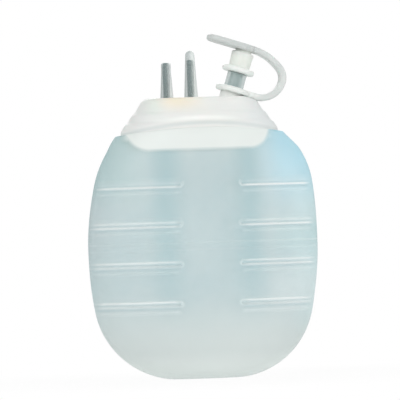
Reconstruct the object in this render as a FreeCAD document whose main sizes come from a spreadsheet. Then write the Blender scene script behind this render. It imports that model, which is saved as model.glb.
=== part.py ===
"""Drain bulb reservoir: an oval bulb, its cap with two valved inlets, and a spout with a tethered stopper.

Millimetres, +Z up. The front face looks along -Y. The origin is the middle of the flat the bulb stands on.
The spout and everything on it are drawn upright in the spout's own frame and then tilted with it.
"""
import FreeCAD, Part
import math
import os

import Sketcher

Vector = FreeCAD.Vector
Rotation = FreeCAD.Rotation
Placement = FreeCAD.Placement
Constraint = Sketcher.Constraint

# How a sketch numbers its axes and the points of an edge
AXES = {"horizontal": -1, "vertical": -2}
START, END, CENTRE = 1, 2, 3
ORIGIN = (AXES["horizontal"], START)
SAME_PLACE = 1e-4

SIZES = (
    ("bulb_half_width", 38.0, "half of the bulb's width at its widest"),
    ("bulb_half_depth", 17.0, "half of the bulb's depth, front to back"),
    ("widest_height", 43.5, "height of the widest place"),
    ("side_radius", 114.0, "radius of the long side curve"),
    ("corner_radius", 27.2, "radius between the side and the flat bottom"),
    ("shoulder_drop", 16.3, "height from the rim's sides down to where the side turns into the shoulder"),
    ("shoulder_radius", 30.6, "radius of the shoulder"),
    ("shoulder_slope", 39.4, "slope of the shoulder below the cap, in degrees from upright"),
    ("neck_height", 80.0, "height of the rim at the bulb's two sides"),
    ("rim_saddle_radius", 34.0, "radius of the saddle that the rim follows, front to back"),
    ("foot_trim", 0.1, "height that is taken off the bottom to make the flat the bulb stands on"),
    ("wall", 1.8, "wall of the bulb"),
    ("rim_thickness", 4.24, "thickness of the rim at its two sides"),
    ("neck_land", 2.5, "height of the thickened land below the rim"),
    ("neck_land_lead", 0.6, "height below the rim where the land reaches its full thickness"),
    ("rib_rows", 4, "rows of ribs"),
    ("rib_first_height", 24.7, "height of the lowest rib"),
    ("rib_pitch", 12.93, "height from one rib to the next"),
    ("rib_band", 1.8, "height of a rib's band"),
    ("rib_raise", 0.7, "how far a rib stands out of the front face"),
    ("rib_gap_half_width", 9.6, "half width of the plain panel between the ribs"),
    ("rib_side_margin", 1.4, "distance from the rib's outer end to the bulb's side at mid height"),
    ("cap_height", 12.0, "height of the cap above the rim's sides"),
    ("cap_inset", 1.77, "how far the cap's foot stands in from the rim's outer edge"),
    ("cap_narrowing", 6.2, "how much narrower the cap is on each side at its top than at its foot"),
    ("cap_lip", 1.2, "height of the upright lip above the rim's sides"),
    ("cap_steps", 3, "steps of the cap's flank"),
    ("cap_step_height", 3.15, "height of one step"),
    ("cap_ledge", 1.2, "width of the ledge on a step"),
    ("cap_ledge_rise", 1.0, "height that a ledge gains inwards"),
    ("cap_corner_radius", 3.4, "radius of the cap's top corner"),
    ("skirt_depth", 5.5, "depth of the cap's skirt below the rim's sides"),
    ("skirt_corner_radius", 8.0, "radius of the skirt's lower corner"),
    ("skirt_wall", 2.0, "wall of the skirt"),
    ("skirt_mouth_inset", 4.0, "how much narrower the skirt's mouth is than the space above it"),
    ("skirt_knee_drop", 1.4, "height below the rim's sides where that space is at its widest"),
    ("ceiling", 5.5, "thickness of the cap above its hollow"),
    ("bond_gap", 0.05, "room for the adhesive between bonded pieces"),
    ("skirt_gap", 0.2, "room for the adhesive round the skirt"),
    ("cap_skin", 0.8, "thickness left above the valve pockets"),
    ("inlet_open_offset", 10.4, "distance of the open inlet to the left of the middle"),
    ("inlet_sealed_offset", 2.35, "distance of the sealed inlet to the left of the middle"),
    ("inlet_bore_radius", 0.9, "radius of the way through an inlet"),
    ("inlet_flange_radius", 3.6, "radius of the flange that holds an inlet in the cap"),
    ("inlet_flange_thickness", 0.8, "thickness of that flange"),
    ("inlet_stub_radius", 1.9, "radius of the stub inside the valve"),
    ("inlet_stub_length", 2.0, "length of the stub"),
    ("open_length", 11.6, "height of the open inlet above the cap"),
    ("open_base_radius", 2.15, "radius of the open inlet at its base"),
    ("open_tip_radius", 1.6, "radius of the open inlet's tip"),
    ("open_tip_land", 3.0, "straight length at the open inlet's tip"),
    ("open_tip_rounding", 0.6, "rounding of the open inlet's tip"),
    ("sealed_length", 15.4, "height of the sealed inlet above the cap"),
    ("sealed_base_radius", 2.25, "radius of the sealed inlet at its base"),
    ("sealed_tip_radius", 1.5, "radius of the sealed inlet's domed tip"),
    ("sealed_tip_solid", 3.0, "length of solid tip above the end of the bore"),
    ("valve_head_height", 2.4, "height of a valve's head"),
    ("valve_body_radius", 2.8, "radius of a valve's sleeve"),
    ("valve_body_length", 3.6, "length of the sleeve below the head"),
    ("valve_bore_radius", 1.7, "radius of the way through the sleeve"),
    ("valve_bill_length", 4.6, "length of the duckbill"),
    ("valve_lip_half_width", 3.0, "half width of the lips"),
    ("valve_lip_half_thickness", 0.7, "half thickness of both lips together"),
    ("valve_slit_half_width", 2.5, "half width of the slit"),
    ("valve_slit_half_gap", 0.08, "half of the slit's opening"),
    ("spout_offset", 10.9, "distance of the spout's foot to the right of the middle"),
    ("spout_tilt", 17.6, "tilt of the spout, in degrees"),
    ("spout_radius", 3.2, "outer radius of the spout tube"),
    ("spout_bore_radius", 2.15, "bore radius of the spout tube"),
    ("spout_length", 8.0, "length of the spout tube above its foot"),
    ("spout_root", 6.6, "length of the spout tube below its foot"),
    ("spout_mouth_rounding", 0.3, "rounding of the spout's mouth"),
    ("tether_seat", 1.0, "height of the seat under the tether, along the spout"),
    ("boss_root", 3.0, "how deep the boss round the spout's foot goes into the cap"),
    ("strap_thickness", 2.2, "thickness of the strap"),
    ("strap_width", 5.0, "width of the strap"),
    ("strap_edge_radius", 0.9, "rounding of the edges of the strap and the pull tab"),
    ("collar_flange_radius", 5.7, "radius of the collar's flange"),
    ("collar_flange_thickness", 1.6, "thickness of the collar's flange"),
    ("collar_flange_rounding", 0.5, "rounding of the collar's flange"),
    ("collar_foot_radius", 3.8, "radius of the collar above and below its flange"),
    ("collar_arm", 7.0, "length of the collar's arm from the spout's axis"),
    ("loop_start", 2.7, "distance from the spout's axis to the start of the strap at the stopper"),
    ("loop_crown_radius", 16.7, "radius of the loop's upper stretch"),
    ("loop_crown_angle", 38.3, "turn of the upper stretch, in degrees"),
    ("loop_turn_radius", 5.1, "radius of the loop's outer turn"),
    ("stem_length", 4.0, "length of the stopper's stem in the bore"),
    ("stem_clearance", 0.15, "clearance of the stem at the mouth of the bore"),
    ("stem_narrowing", 0.45, "how much thinner the stem is at its tip"),
    ("stopper_flange_radius", 5.35, "radius of the stopper's flange"),
    ("stopper_flange_thickness", 1.8, "thickness of the stopper's flange"),
    ("stopper_flange_rounding", 0.7, "rounding of the stopper's flange"),
    ("stopper_body_radius", 3.45, "radius of the stopper's body at its foot"),
    ("stopper_body_flare", 0.25, "how much wider the body is at its top"),
    ("stopper_body_height", 5.2, "height of the stopper's body"),
    ("stopper_body_rounding", 0.6, "rounding of the body's top"),
    ("stopper_neck_radius", 2.6, "radius of the neck under the tab"),
    ("stopper_neck_height", 0.7, "height of the neck"),
    ("tab_length", 13.0, "length of the pull tab from the spout's axis"),
    ("tab_width", 8.0, "width of the pull tab"),
    ("tool_overrun", 5.0, "how far a cutting shape runs on past what it cuts"),
)

doc = FreeCAD.newDocument("drain_bulb_reservoir")
sheet = doc.addObject("Spreadsheet::Sheet", "dim")
for row, (alias, number, meaning) in enumerate(SIZES, start=1):
    sheet.set(f"A{row}", alias)
    sheet.set(f"B{row}", str(number))
    sheet.set(f"C{row}", meaning)
    sheet.setAlias(f"B{row}", alias)
doc.recompute()

# Where the bulb's outline turns from its side into its shoulder, and its width at the rim, as expressions
SLOPE = "(dim.shoulder_slope * 1 deg)"
SIDE_RISE = "((dim.neck_height - dim.shoulder_drop - dim.widest_height) / dim.side_radius)"
SIDE_CENTRE_X = "(dim.bulb_half_width - dim.side_radius)"
SHOULDER_X = f"({SIDE_CENTRE_X} + (dim.side_radius - dim.shoulder_radius) * sqrt(1 - {SIDE_RISE} ^ 2))"
SHOULDER_Z = f"(dim.widest_height + (dim.side_radius - dim.shoulder_radius) * {SIDE_RISE})"
SLANT_X = f"({SHOULDER_X} + dim.shoulder_radius * cos({SLOPE}))"
SLANT_Z = f"({SHOULDER_Z} + dim.shoulder_radius * sin({SLOPE}))"
RIM_HALF_WIDTH = f"({SLANT_X} - (dim.neck_height - {SLANT_Z}) * tan({SLOPE}))"
NECK_BORE = f"({RIM_HALF_WIDTH} - dim.rim_thickness)"
CAP_BASE = f"({RIM_HALF_WIDTH} - dim.cap_inset)"

# Places that several pieces share, as expressions
CAP_TOP = "(dim.neck_height + dim.cap_height)"
HOLLOW_TOP = f"({CAP_TOP} - dim.ceiling)"
POCKET_TOP = f"({CAP_TOP} - dim.cap_skin)"
FLANGE_FOOT = f"({POCKET_TOP} - dim.inlet_flange_thickness)"
VALVE_HEAD_FOOT = f"({FLANGE_FOOT} - dim.valve_head_height)"
VALVE_BODY_FOOT = f"({VALVE_HEAD_FOOT} - dim.valve_body_length)"
OUTER_FLATNESS = "(dim.bulb_half_depth / dim.bulb_half_width)"
INNER_FLATNESS = "((dim.bulb_half_depth - dim.wall) / (dim.bulb_half_width - dim.wall))"
SKIRT_HALF_WIDTH = f"({NECK_BORE} - dim.skirt_gap)"
STRAP_LOW = "(dim.tether_seat + dim.strap_thickness / 2)"
COLLAR_FLANGE_FOOT = f"({STRAP_LOW} - dim.collar_flange_thickness / 2)"
COLLAR_FLANGE_TOP = f"({STRAP_LOW} + dim.collar_flange_thickness / 2)"
STOPPER_BODY_FOOT = "(dim.spout_length + dim.stopper_flange_thickness)"
STOPPER_NECK_FOOT = f"({STOPPER_BODY_FOOT} + dim.stopper_body_height)"
TAB_FOOT = f"({STOPPER_NECK_FOOT} + dim.stopper_neck_height)"
TAB_TOP = f"({TAB_FOOT} + dim.strap_thickness)"
STRAP_HIGH = f"({TAB_FOOT} + dim.strap_thickness / 2)"


def value(expression):
    """The number that an expression of the sheet stands for."""
    result = sheet.evalExpression(expression)
    return float(getattr(result, "Value", result))


def upright_sketch(name, body=None):
    """A sketch in the XZ plane: its x is the row's X and its y is the row's Z."""
    if body is None:
        sketch = doc.addObject("Sketcher::SketchObject", name)
        sketch.Placement = Placement(Vector(0, 0, 0), Rotation(Vector(1, 0, 0), 90))
        return sketch
    sketch = body.newObject("Sketcher::SketchObject", name)
    sketch.AttachmentSupport = (origin_plane(body, "XZ_Plane"), [""])
    sketch.MapMode = "FlatFace"
    return sketch


def origin_plane(body, role):
    return next(feature for feature in body.Origin.OriginFeatures if feature.Role == role)


def bind(sketch, constraint, expression):
    """Adds a constraint whose size follows an expression of the sheet."""
    index = sketch.addConstraint(constraint)
    name = f"size{index}"
    sketch.renameConstraint(index, name)
    sketch.setExpression(f"Constraints.{name}", expression)


def hold(sketch, geometry, point, x, y):
    """Holds a point of a sketch at the place that two expressions give."""
    if x == "0":
        sketch.addConstraint(Constraint("PointOnObject", geometry, point, AXES["vertical"]))
    else:
        bind(sketch, Constraint("DistanceX", *ORIGIN, geometry, point, value(x)), x)
    if y == "0":
        sketch.addConstraint(Constraint("PointOnObject", geometry, point, AXES["horizontal"]))
    else:
        bind(sketch, Constraint("DistanceY", *ORIGIN, geometry, point, value(y)), y)


def add_polygon(sketch, corners):
    """A closed outline of straight edges through corners that are given as expressions."""
    places = [Vector(value(x), value(y), 0) for x, y in corners]
    edges = []
    for index, place in enumerate(places):
        following = places[(index + 1) % len(places)]
        edges.append(sketch.addGeometry(Part.LineSegment(place, following), False))
    for index, (x, y) in enumerate(corners):
        sketch.addConstraint(Constraint("Coincident", edges[index - 1], END, edges[index], START))
        hold(sketch, edges[index], START, x, y)
    return edges


def add_arc(sketch, centre, radius, first, last):
    """An arc that turns counter-clockwise from the first angle to the last, in radians."""
    circle = Part.Circle(Vector(*centre, 0), Vector(0, 0, 1), radius)
    return sketch.addGeometry(Part.ArcOfCircle(circle, first, last), False)


def add_line(sketch, first, last):
    return sketch.addGeometry(Part.LineSegment(Vector(*first, 0), Vector(*last, 0)), False)


def smooth(sketch, first, second):
    """The end of one edge runs smoothly into the start of the next."""
    sketch.addConstraint(Constraint("Tangent", first, END, second, START))


def meet(sketch, first, second):
    sketch.addConstraint(Constraint("Coincident", first, END, second, START))


def revolved(name, sketch):
    turned = doc.addObject("Part::Revolution", name)
    turned.Source = sketch
    turned.Axis = Vector(0, 0, 1)
    turned.Base = Vector(0, 0, 0)
    turned.Angle = 360
    turned.Solid = True
    return turned


def flattened(name, source, flatness):
    """A round solid pressed flat from front to back."""
    flat = doc.addObject("Part::Scale", name)
    flat.Base = source
    flat.Uniform = False
    flat.XScale = 1
    flat.ZScale = 1
    flat.setExpression("YScale", flatness)
    return flat


def cut(name, base, tool):
    result = doc.addObject("Part::Cut", name)
    result.Base = base
    result.Tool = tool
    return result


def joined(name, shapes):
    result = doc.addObject("Part::MultiFuse", name)
    result.Shapes = shapes
    return result


def common(name, shapes):
    result = doc.addObject("Part::MultiCommon", name)
    result.Shapes = shapes
    return result


def cylinder(name, radius, height, foot, x="0"):
    """An upright cylinder, with its radius, height, foot and x as expressions."""
    solid = doc.addObject("Part::Cylinder", name)
    solid.setExpression("Radius", radius)
    solid.setExpression("Height", height)
    solid.setExpression("Placement.Base.x", x)
    solid.setExpression("Placement.Base.z", foot)
    return solid


def stand_on_spout(feature):
    """Moves a piece that is drawn upright at the origin into the spout's tilted frame."""
    tilt = Rotation(Vector(0, 1, 0), value("dim.spout_tilt"))
    feature.Placement = Placement(Vector(value("dim.spout_offset"), 0, value(CAP_TOP)), tilt)
    feature.setExpression("Placement.Base.x", "dim.spout_offset")
    feature.setExpression("Placement.Base.z", CAP_TOP)
    feature.setExpression("Placement.Rotation.Angle", "dim.spout_tilt * 1 deg")


def turned_body(name, corners):
    """A PartDesign body with one revolved outline, for the small round pieces."""
    body = doc.addObject("PartDesign::Body", name)
    sketch = upright_sketch(f"{name}_profile", body)
    add_polygon(sketch, corners)
    turned = body.newObject("PartDesign::Revolution", f"{name}_turned")
    turned.Profile = sketch
    turned.ReferenceAxis = (sketch, ["V_Axis"])
    turned.Angle = 360
    doc.recompute()
    return body


def circle_edges(shape, radius, height):
    """Names of the circular edges of a shape that have this radius and lie at this height."""
    names = []
    for index, edge in enumerate(shape.Edges, start=1):
        if not isinstance(edge.Curve, Part.Circle):
            continue
        same_radius = abs(edge.Curve.Radius - radius) < SAME_PLACE
        same_height = abs(edge.Curve.Center.z - height) < SAME_PLACE
        if same_radius and same_height:
            names.append(f"Edge{index}")
    return names


def rounded(body, name, edges, radius):
    """Rounds edges of a body's newest feature."""
    base = body.Tip
    fillet = body.newObject("PartDesign::Fillet", name)
    fillet.Base = (base, edges)
    fillet.setExpression("Radius", radius)
    body.Tip = fillet
    doc.recompute()
    return fillet


def bulb_profile(name, inset):
    """The bulb's half outline up to its shoulder, moved inwards by an expression.

    Returns the sketch and its bottom, corner, side, shoulder and slope edges.
    """
    sketch = upright_sketch(name)
    gap = value(inset)
    side_radius = value("dim.side_radius")
    corner_radius = value("dim.corner_radius")
    shoulder_radius = value("dim.shoulder_radius")
    slope = math.radians(value("dim.shoulder_slope"))
    side_centre_x = value(SIDE_CENTRE_X)
    side_centre_z = value("dim.widest_height")
    corner_z = value("dim.corner_radius - dim.foot_trim")
    fall = math.asin((side_centre_z - corner_z) / (side_radius - corner_radius))
    rise = math.asin(value(SIDE_RISE))
    corner_x = side_centre_x + (side_radius - corner_radius) * math.cos(fall)
    shoulder_x = value(SHOULDER_X)
    shoulder_z = value(SHOULDER_Z)
    bend = shoulder_radius - gap
    slope_start = (shoulder_x + bend * math.cos(slope), shoulder_z + bend * math.sin(slope))
    slope_end = (slope_start[0] - math.sin(slope), slope_start[1] + math.cos(slope))

    floor = f"({inset} - dim.foot_trim)"
    bottom = add_line(sketch, (0, value(floor)), (corner_x, value(floor)))
    corner = add_arc(sketch, (corner_x, corner_z), corner_radius - gap, -math.pi / 2, -fall)
    side = add_arc(sketch, (side_centre_x, side_centre_z), side_radius - gap, -fall, rise)
    shoulder = add_arc(sketch, (shoulder_x, shoulder_z), bend, rise, slope)
    slant = add_line(sketch, slope_start, slope_end)
    sketch.addConstraint(Constraint("Horizontal", bottom))
    hold(sketch, bottom, START, "0", floor)
    smooth(sketch, bottom, corner)
    smooth(sketch, corner, side)
    smooth(sketch, side, shoulder)
    smooth(sketch, shoulder, slant)
    bind(sketch, Constraint("Radius", corner, corner_radius - gap), f"dim.corner_radius - {inset}")
    bind(sketch, Constraint("Radius", side, side_radius - gap), f"dim.side_radius - {inset}")
    bind(sketch, Constraint("Radius", shoulder, bend), f"dim.shoulder_radius - {inset}")
    hold(sketch, side, CENTRE, SIDE_CENTRE_X, "dim.widest_height")
    bind(sketch, Constraint("DistanceY", *ORIGIN, shoulder, CENTRE, shoulder_z), SHOULDER_Z)
    bind(sketch, Constraint("Angle", slant, math.pi / 2 + slope), f"90 deg + {SLOPE}")
    return sketch, (bottom, corner, side, shoulder, slant)


def close_to_axis(sketch, last, bottom, corners):
    """Closes a half outline from its last edge, by straight edges through the corners, down the axis."""
    places = [(value(x), value(y)) for x, y in corners]
    geometry = sketch.Geometry
    here = geometry[last].EndPoint
    place = (here.x, here.y)
    for (x, y), following in zip(corners, places):
        edge = add_line(sketch, place, following)
        meet(sketch, last, edge)
        hold(sketch, edge, END, x, y)
        last = edge
        place = following
    start = sketch.Geometry[bottom].StartPoint
    axis = add_line(sketch, place, (start.x, start.y))
    meet(sketch, last, axis)
    meet(sketch, axis, bottom)


def make_outer_form():
    """The bulb's outer form as a round solid that runs on above the rim."""
    sketch, edges = bulb_profile("bulb_outline", "0")
    bottom, slant = edges[0], edges[-1]
    top = "dim.neck_height + dim.tool_overrun"
    bind(sketch, Constraint("DistanceY", *ORIGIN, slant, END, value(top)), top)
    doc.recompute()
    close_to_axis(sketch, slant, bottom, (("0", top),))
    return revolved("bulb_outer_round", sketch)


def make_cavity():
    """The fluid chamber, narrowed at the land that the cap's skirt is bonded to."""
    sketch, edges = bulb_profile("cavity_outline", "dim.wall")
    bottom, slant = edges[0], edges[-1]
    land_foot = "dim.neck_height - dim.neck_land"
    land_top = "dim.neck_height - dim.neck_land_lead"
    bind(sketch, Constraint("DistanceY", *ORIGIN, slant, END, value(land_foot)), land_foot)
    doc.recompute()
    corners = ((NECK_BORE, land_top), (NECK_BORE, CAP_TOP), ("0", CAP_TOP))
    close_to_axis(sketch, slant, bottom, corners)
    return flattened("cavity", revolved("cavity_round", sketch), INNER_FLATNESS)


def make_saddle():
    """A lying cylinder whose underside is the saddle that the rim and the cap's foot follow."""
    saddle = doc.addObject("Part::Cylinder", "rim_saddle")
    saddle.Placement = Placement(Vector(0, 0, 0), Rotation(Vector(0, 1, 0), 90))
    saddle.setExpression("Radius", "dim.rim_saddle_radius")
    saddle.setExpression("Height", "2 * (dim.bulb_half_width + dim.tool_overrun)")
    saddle.setExpression("Placement.Base.x", "-(dim.bulb_half_width + dim.tool_overrun)")
    saddle.setExpression("Placement.Base.z", "dim.neck_height + dim.rim_saddle_radius")
    return saddle


def add_slot(sketch, inner, outer, height, radius):
    """A lying slot with round ends. The places are expressions, and inner is left of outer."""
    left, right, level, bend = value(inner), value(outer), value(height), value(radius)
    low = add_line(sketch, (left, level - bend), (right, level - bend))
    right_end = add_arc(sketch, (right, level), bend, -math.pi / 2, math.pi / 2)
    high = add_line(sketch, (right, level + bend), (left, level + bend))
    left_end = add_arc(sketch, (left, level), bend, math.pi / 2, 3 * math.pi / 2)
    smooth(sketch, low, right_end)
    smooth(sketch, right_end, high)
    smooth(sketch, high, left_end)
    smooth(sketch, left_end, low)
    bind(sketch, Constraint("Radius", right_end, bend), radius)
    hold(sketch, right_end, CENTRE, outer, height)
    hold(sketch, left_end, CENTRE, inner, height)


def make_ribs(outer_round):
    """Bars through the bulb that stand out of its front and back as the ribs."""
    raised = flattened(
        "rib_surface", outer_round, "(dim.bulb_half_depth + dim.rib_raise) / dim.bulb_half_width"
    )
    sketch = upright_sketch("rib_bands")
    radius = "dim.rib_band / 2"
    inner = f"dim.rib_gap_half_width + {radius}"
    outer = f"dim.bulb_half_width - dim.rib_side_margin - {radius}"
    for row in range(int(value("dim.rib_rows"))):
        height = f"dim.rib_first_height + {row} * dim.rib_pitch"
        # The bulb is a little narrower at the first and last rows than at mid height
        reach = f"({outer} - ({height} - dim.widest_height) ^ 2 / (2 * dim.side_radius))"
        add_slot(sketch, inner, reach, height, radius)
        add_slot(sketch, f"-{reach}", f"-({inner})", height, radius)
    bands = doc.addObject("Part::Extrusion", "rib_bands_extruded")
    bands.Base = sketch
    bands.DirMode = "Custom"
    bands.Dir = Vector(0, 1, 0)
    bands.Solid = True
    bands.Symmetric = True
    bands.setExpression("LengthFwd", "2 * (dim.bulb_half_depth + dim.rib_raise + dim.tool_overrun)")
    return common("rib_bars", [raised, bands])


def foot_block():
    """The block below the bulb whose top face leaves the flat that the bulb stands on."""
    block = doc.addObject("Part::Box", "foot_block")
    block.setExpression("Length", "2 * dim.bulb_half_width")
    block.setExpression("Width", "2 * dim.bulb_half_depth")
    block.setExpression("Height", "dim.tool_overrun")
    block.setExpression("Placement.Base.x", "-dim.bulb_half_width")
    block.setExpression("Placement.Base.y", "-dim.bulb_half_depth")
    block.setExpression("Placement.Base.z", "-dim.tool_overrun")
    return block


def make_bulb(saddle):
    outer_round = make_outer_form()
    outer = flattened("bulb_outer", outer_round, OUTER_FLATNESS)
    ribbed = joined("bulb_ribbed", [outer, make_ribs(outer_round)])
    hollow = cut("bulb_hollow", ribbed, make_cavity())
    return cut("bulb", hollow, joined("bulb_trims", [saddle, foot_block()]))


def make_crown(saddle):
    """The stepped top of the cap, with its foot on the rim's saddle."""
    sketch = upright_sketch("cap_outline")
    steps = int(value("dim.cap_steps"))
    lean = "((dim.cap_narrowing - (dim.cap_steps - 1) * dim.cap_ledge) / dim.cap_steps)"
    rise = "(dim.cap_step_height - dim.cap_ledge_rise)"
    foot = "dim.neck_height - dim.neck_land"
    corners = [("0", foot), (CAP_BASE, foot)]
    for step in range(steps):
        low_radius = f"{CAP_BASE} - {step} * ({lean} + dim.cap_ledge)"
        low_height = f"dim.neck_height + dim.cap_lip + {step} * dim.cap_step_height"
        corners.append((low_radius, low_height))
        if step < steps - 1:
            corners.append((f"{low_radius} - {lean}", f"{low_height} + {rise}"))
    places = [(value(x), value(y)) for x, y in corners]
    edges = [add_line(sketch, place, following) for place, following in zip(places, places[1:])]
    for first, second in zip(edges, edges[1:]):
        meet(sketch, first, second)
    for edge, (x, y) in zip(edges, corners):
        hold(sketch, edge, START, x, y)
    last_x, last_y = corners[-1]
    hold(sketch, edges[-1], END, last_x, last_y)

    # The top step leans in, turns over the round corner and runs flat to the axis
    bend = value("dim.cap_corner_radius")
    top = value(CAP_TOP)
    tilt = math.atan2(value(lean), value(rise))
    start = places[-1]
    centre_z = top - bend
    length = (centre_z + bend * math.sin(tilt) - start[1]) / math.cos(tilt)
    bend_start = (start[0] - length * math.sin(tilt), start[1] + length * math.cos(tilt))
    centre_x = bend_start[0] - bend * math.cos(tilt)
    flank = add_line(sketch, start, bend_start)
    corner = add_arc(sketch, (centre_x, centre_z), bend, tilt, math.pi / 2)
    lid = add_line(sketch, (centre_x, top), (0, top))
    meet(sketch, edges[-1], flank)
    smooth(sketch, flank, corner)
    smooth(sketch, corner, lid)
    bind(sketch, Constraint("Angle", flank, math.pi / 2 + tilt), f"90 deg + atan({lean} / {rise})")
    bind(sketch, Constraint("Radius", corner, bend), "dim.cap_corner_radius")
    hold(sketch, lid, END, "0", CAP_TOP)
    sketch.addConstraint(Constraint("Horizontal", lid))
    axis = add_line(sketch, (0, top), (0, value(foot)))
    meet(sketch, lid, axis)
    meet(sketch, axis, edges[0])
    crown = flattened("cap_crown_oval", revolved("cap_crown_round", sketch), OUTER_FLATNESS)
    return common("cap_crown", [crown, saddle])


def make_skirt():
    """The skirt that goes down inside the neck, as a solid with a round lower corner."""
    sketch = upright_sketch("skirt_outline")
    bend = value("dim.skirt_corner_radius")
    foot = value("dim.neck_height - dim.skirt_depth")
    half_width = value(SKIRT_HALF_WIDTH)
    top = value(HOLLOW_TOP)
    bottom = add_line(sketch, (0, foot), (half_width - bend, foot))
    corner = add_arc(sketch, (half_width - bend, foot + bend), bend, -math.pi / 2, 0)
    side = add_line(sketch, (half_width, foot + bend), (half_width, top))
    hold(sketch, bottom, START, "0", "dim.neck_height - dim.skirt_depth")
    sketch.addConstraint(Constraint("Horizontal", bottom))
    smooth(sketch, bottom, corner)
    smooth(sketch, corner, side)
    sketch.addConstraint(Constraint("Vertical", side))
    bind(sketch, Constraint("Radius", corner, bend), "dim.skirt_corner_radius")
    hold(sketch, side, END, SKIRT_HALF_WIDTH, HOLLOW_TOP)
    doc.recompute()
    close_to_axis(sketch, side, bottom, (("0", HOLLOW_TOP),))
    return flattened("skirt", revolved("skirt_round", sketch), INNER_FLATNESS)


def make_cap_hollow():
    """The space inside the skirt, open below and narrower at the cap's ceiling."""
    inner = f"({SKIRT_HALF_WIDTH} - dim.skirt_wall)"
    mouth = f"({inner} - dim.skirt_mouth_inset)"
    top_half_width = f"({inner} - dim.cap_narrowing)"
    foot = "dim.neck_height - dim.skirt_depth"
    below = f"{foot} - dim.tool_overrun"
    knee = "dim.neck_height - dim.skirt_knee_drop"
    sketch = upright_sketch("cap_hollow_outline")
    add_polygon(sketch, (
        ("0", below),
        (mouth, below),
        (mouth, foot),
        (inner, knee),
        (top_half_width, HOLLOW_TOP),
        ("0", HOLLOW_TOP),
    ))
    flatness = f"(({SKIRT_HALF_WIDTH} * {INNER_FLATNESS} - dim.skirt_wall) / {inner})"
    return flattened("cap_hollow", revolved("cap_hollow_round", sketch), flatness)


def bar_on_spout(name, radius, below, above):
    """A round bar on the spout's axis, from a depth below the cap's top to a height above it."""
    bar = cylinder(name, radius, f"{below} + {above}", "0")
    stand_on_spout(bar)
    bar.setExpression("Placement.Base.x", f"dim.spout_offset - {below} * sin(dim.spout_tilt * 1 deg)")
    bar.setExpression("Placement.Base.z", f"{CAP_TOP} - {below} * cos(dim.spout_tilt * 1 deg)")
    return bar


def tether_seat():
    """The block that planes the cap's corner square to the spout, where the tether lies."""
    block = doc.addObject("Part::Box", "tether_seat_block")
    block.setExpression("Length", "dim.bulb_half_width")
    block.setExpression("Width", "2 * dim.bulb_half_depth")
    block.setExpression("Height", "dim.cap_height")
    stand_on_spout(block)
    seat_x = "dim.spout_offset + dim.tether_seat * sin(dim.spout_tilt * 1 deg)"
    seat_z = f"{CAP_TOP} + dim.tether_seat * cos(dim.spout_tilt * 1 deg)"
    block.setExpression("Placement.Base.x", seat_x)
    block.setExpression("Placement.Base.y", "-dim.bulb_half_depth")
    block.setExpression("Placement.Base.z", seat_z)
    return block


def make_cap(saddle):
    crown = cut("cap_crown_seated", make_crown(saddle), tether_seat())
    boss = bar_on_spout("spout_boss", "dim.collar_foot_radius", "dim.boss_root", "dim.tether_seat")
    solid = joined("cap_solid", [crown, make_skirt(), boss])
    spout_hole = bar_on_spout(
        "spout_hole", "dim.spout_radius + dim.bond_gap", "(dim.spout_root + dim.tool_overrun)", "dim.tool_overrun"
    )
    tools = [make_cap_hollow(), spout_hole]
    inlets = (("open", "-dim.inlet_open_offset"), ("sealed", "-dim.inlet_sealed_offset"))
    # A pocket runs down to the cap's open foot, because its valve is pushed up into it from there
    pocket_foot = "(dim.neck_height - dim.skirt_depth - dim.tool_overrun)"
    for side, x in inlets:
        pocket_radius = "dim.inlet_flange_radius + dim.bond_gap"
        pocket = cylinder(f"{side}_pocket", pocket_radius, f"{POCKET_TOP} - {pocket_foot}", pocket_foot, x)
        hole_radius = f"dim.{side}_base_radius + dim.bond_gap"
        hole = cylinder(f"{side}_hole", hole_radius, "dim.ceiling + dim.tool_overrun", HOLLOW_TOP, x)
        tools += [pocket, hole]
    return cut("port_cap", solid, joined("cap_openings", tools))


def inlet_root(base_radius):
    """Corners of an inlet's outline inside the cap, from the bore's foot out and up to the cap's top."""
    return [
        ("dim.inlet_bore_radius", f"{FLANGE_FOOT} - dim.inlet_stub_length"),
        ("dim.inlet_stub_radius", f"{FLANGE_FOOT} - dim.inlet_stub_length"),
        ("dim.inlet_stub_radius", FLANGE_FOOT),
        ("dim.inlet_flange_radius", FLANGE_FOOT),
        ("dim.inlet_flange_radius", POCKET_TOP),
        (base_radius, POCKET_TOP),
        (base_radius, CAP_TOP),
    ]


def make_open_inlet():
    """The inlet in use: a tapered nipple, cut open at its tip."""
    tip = f"{CAP_TOP} + dim.open_length"
    corners = inlet_root("dim.open_base_radius") + [
        ("dim.open_tip_radius", f"{tip} - dim.open_tip_land"),
        ("dim.open_tip_radius", tip),
        ("dim.inlet_bore_radius", tip),
    ]
    body = turned_body("inlet_port_open", corners)
    edges = circle_edges(body.Shape, value("dim.open_tip_radius"), value(tip))
    rounded(body, "inlet_open_tip_rounding", edges, "dim.open_tip_rounding")
    body.setExpression("Placement.Base.x", "-dim.inlet_open_offset")
    return body


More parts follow.
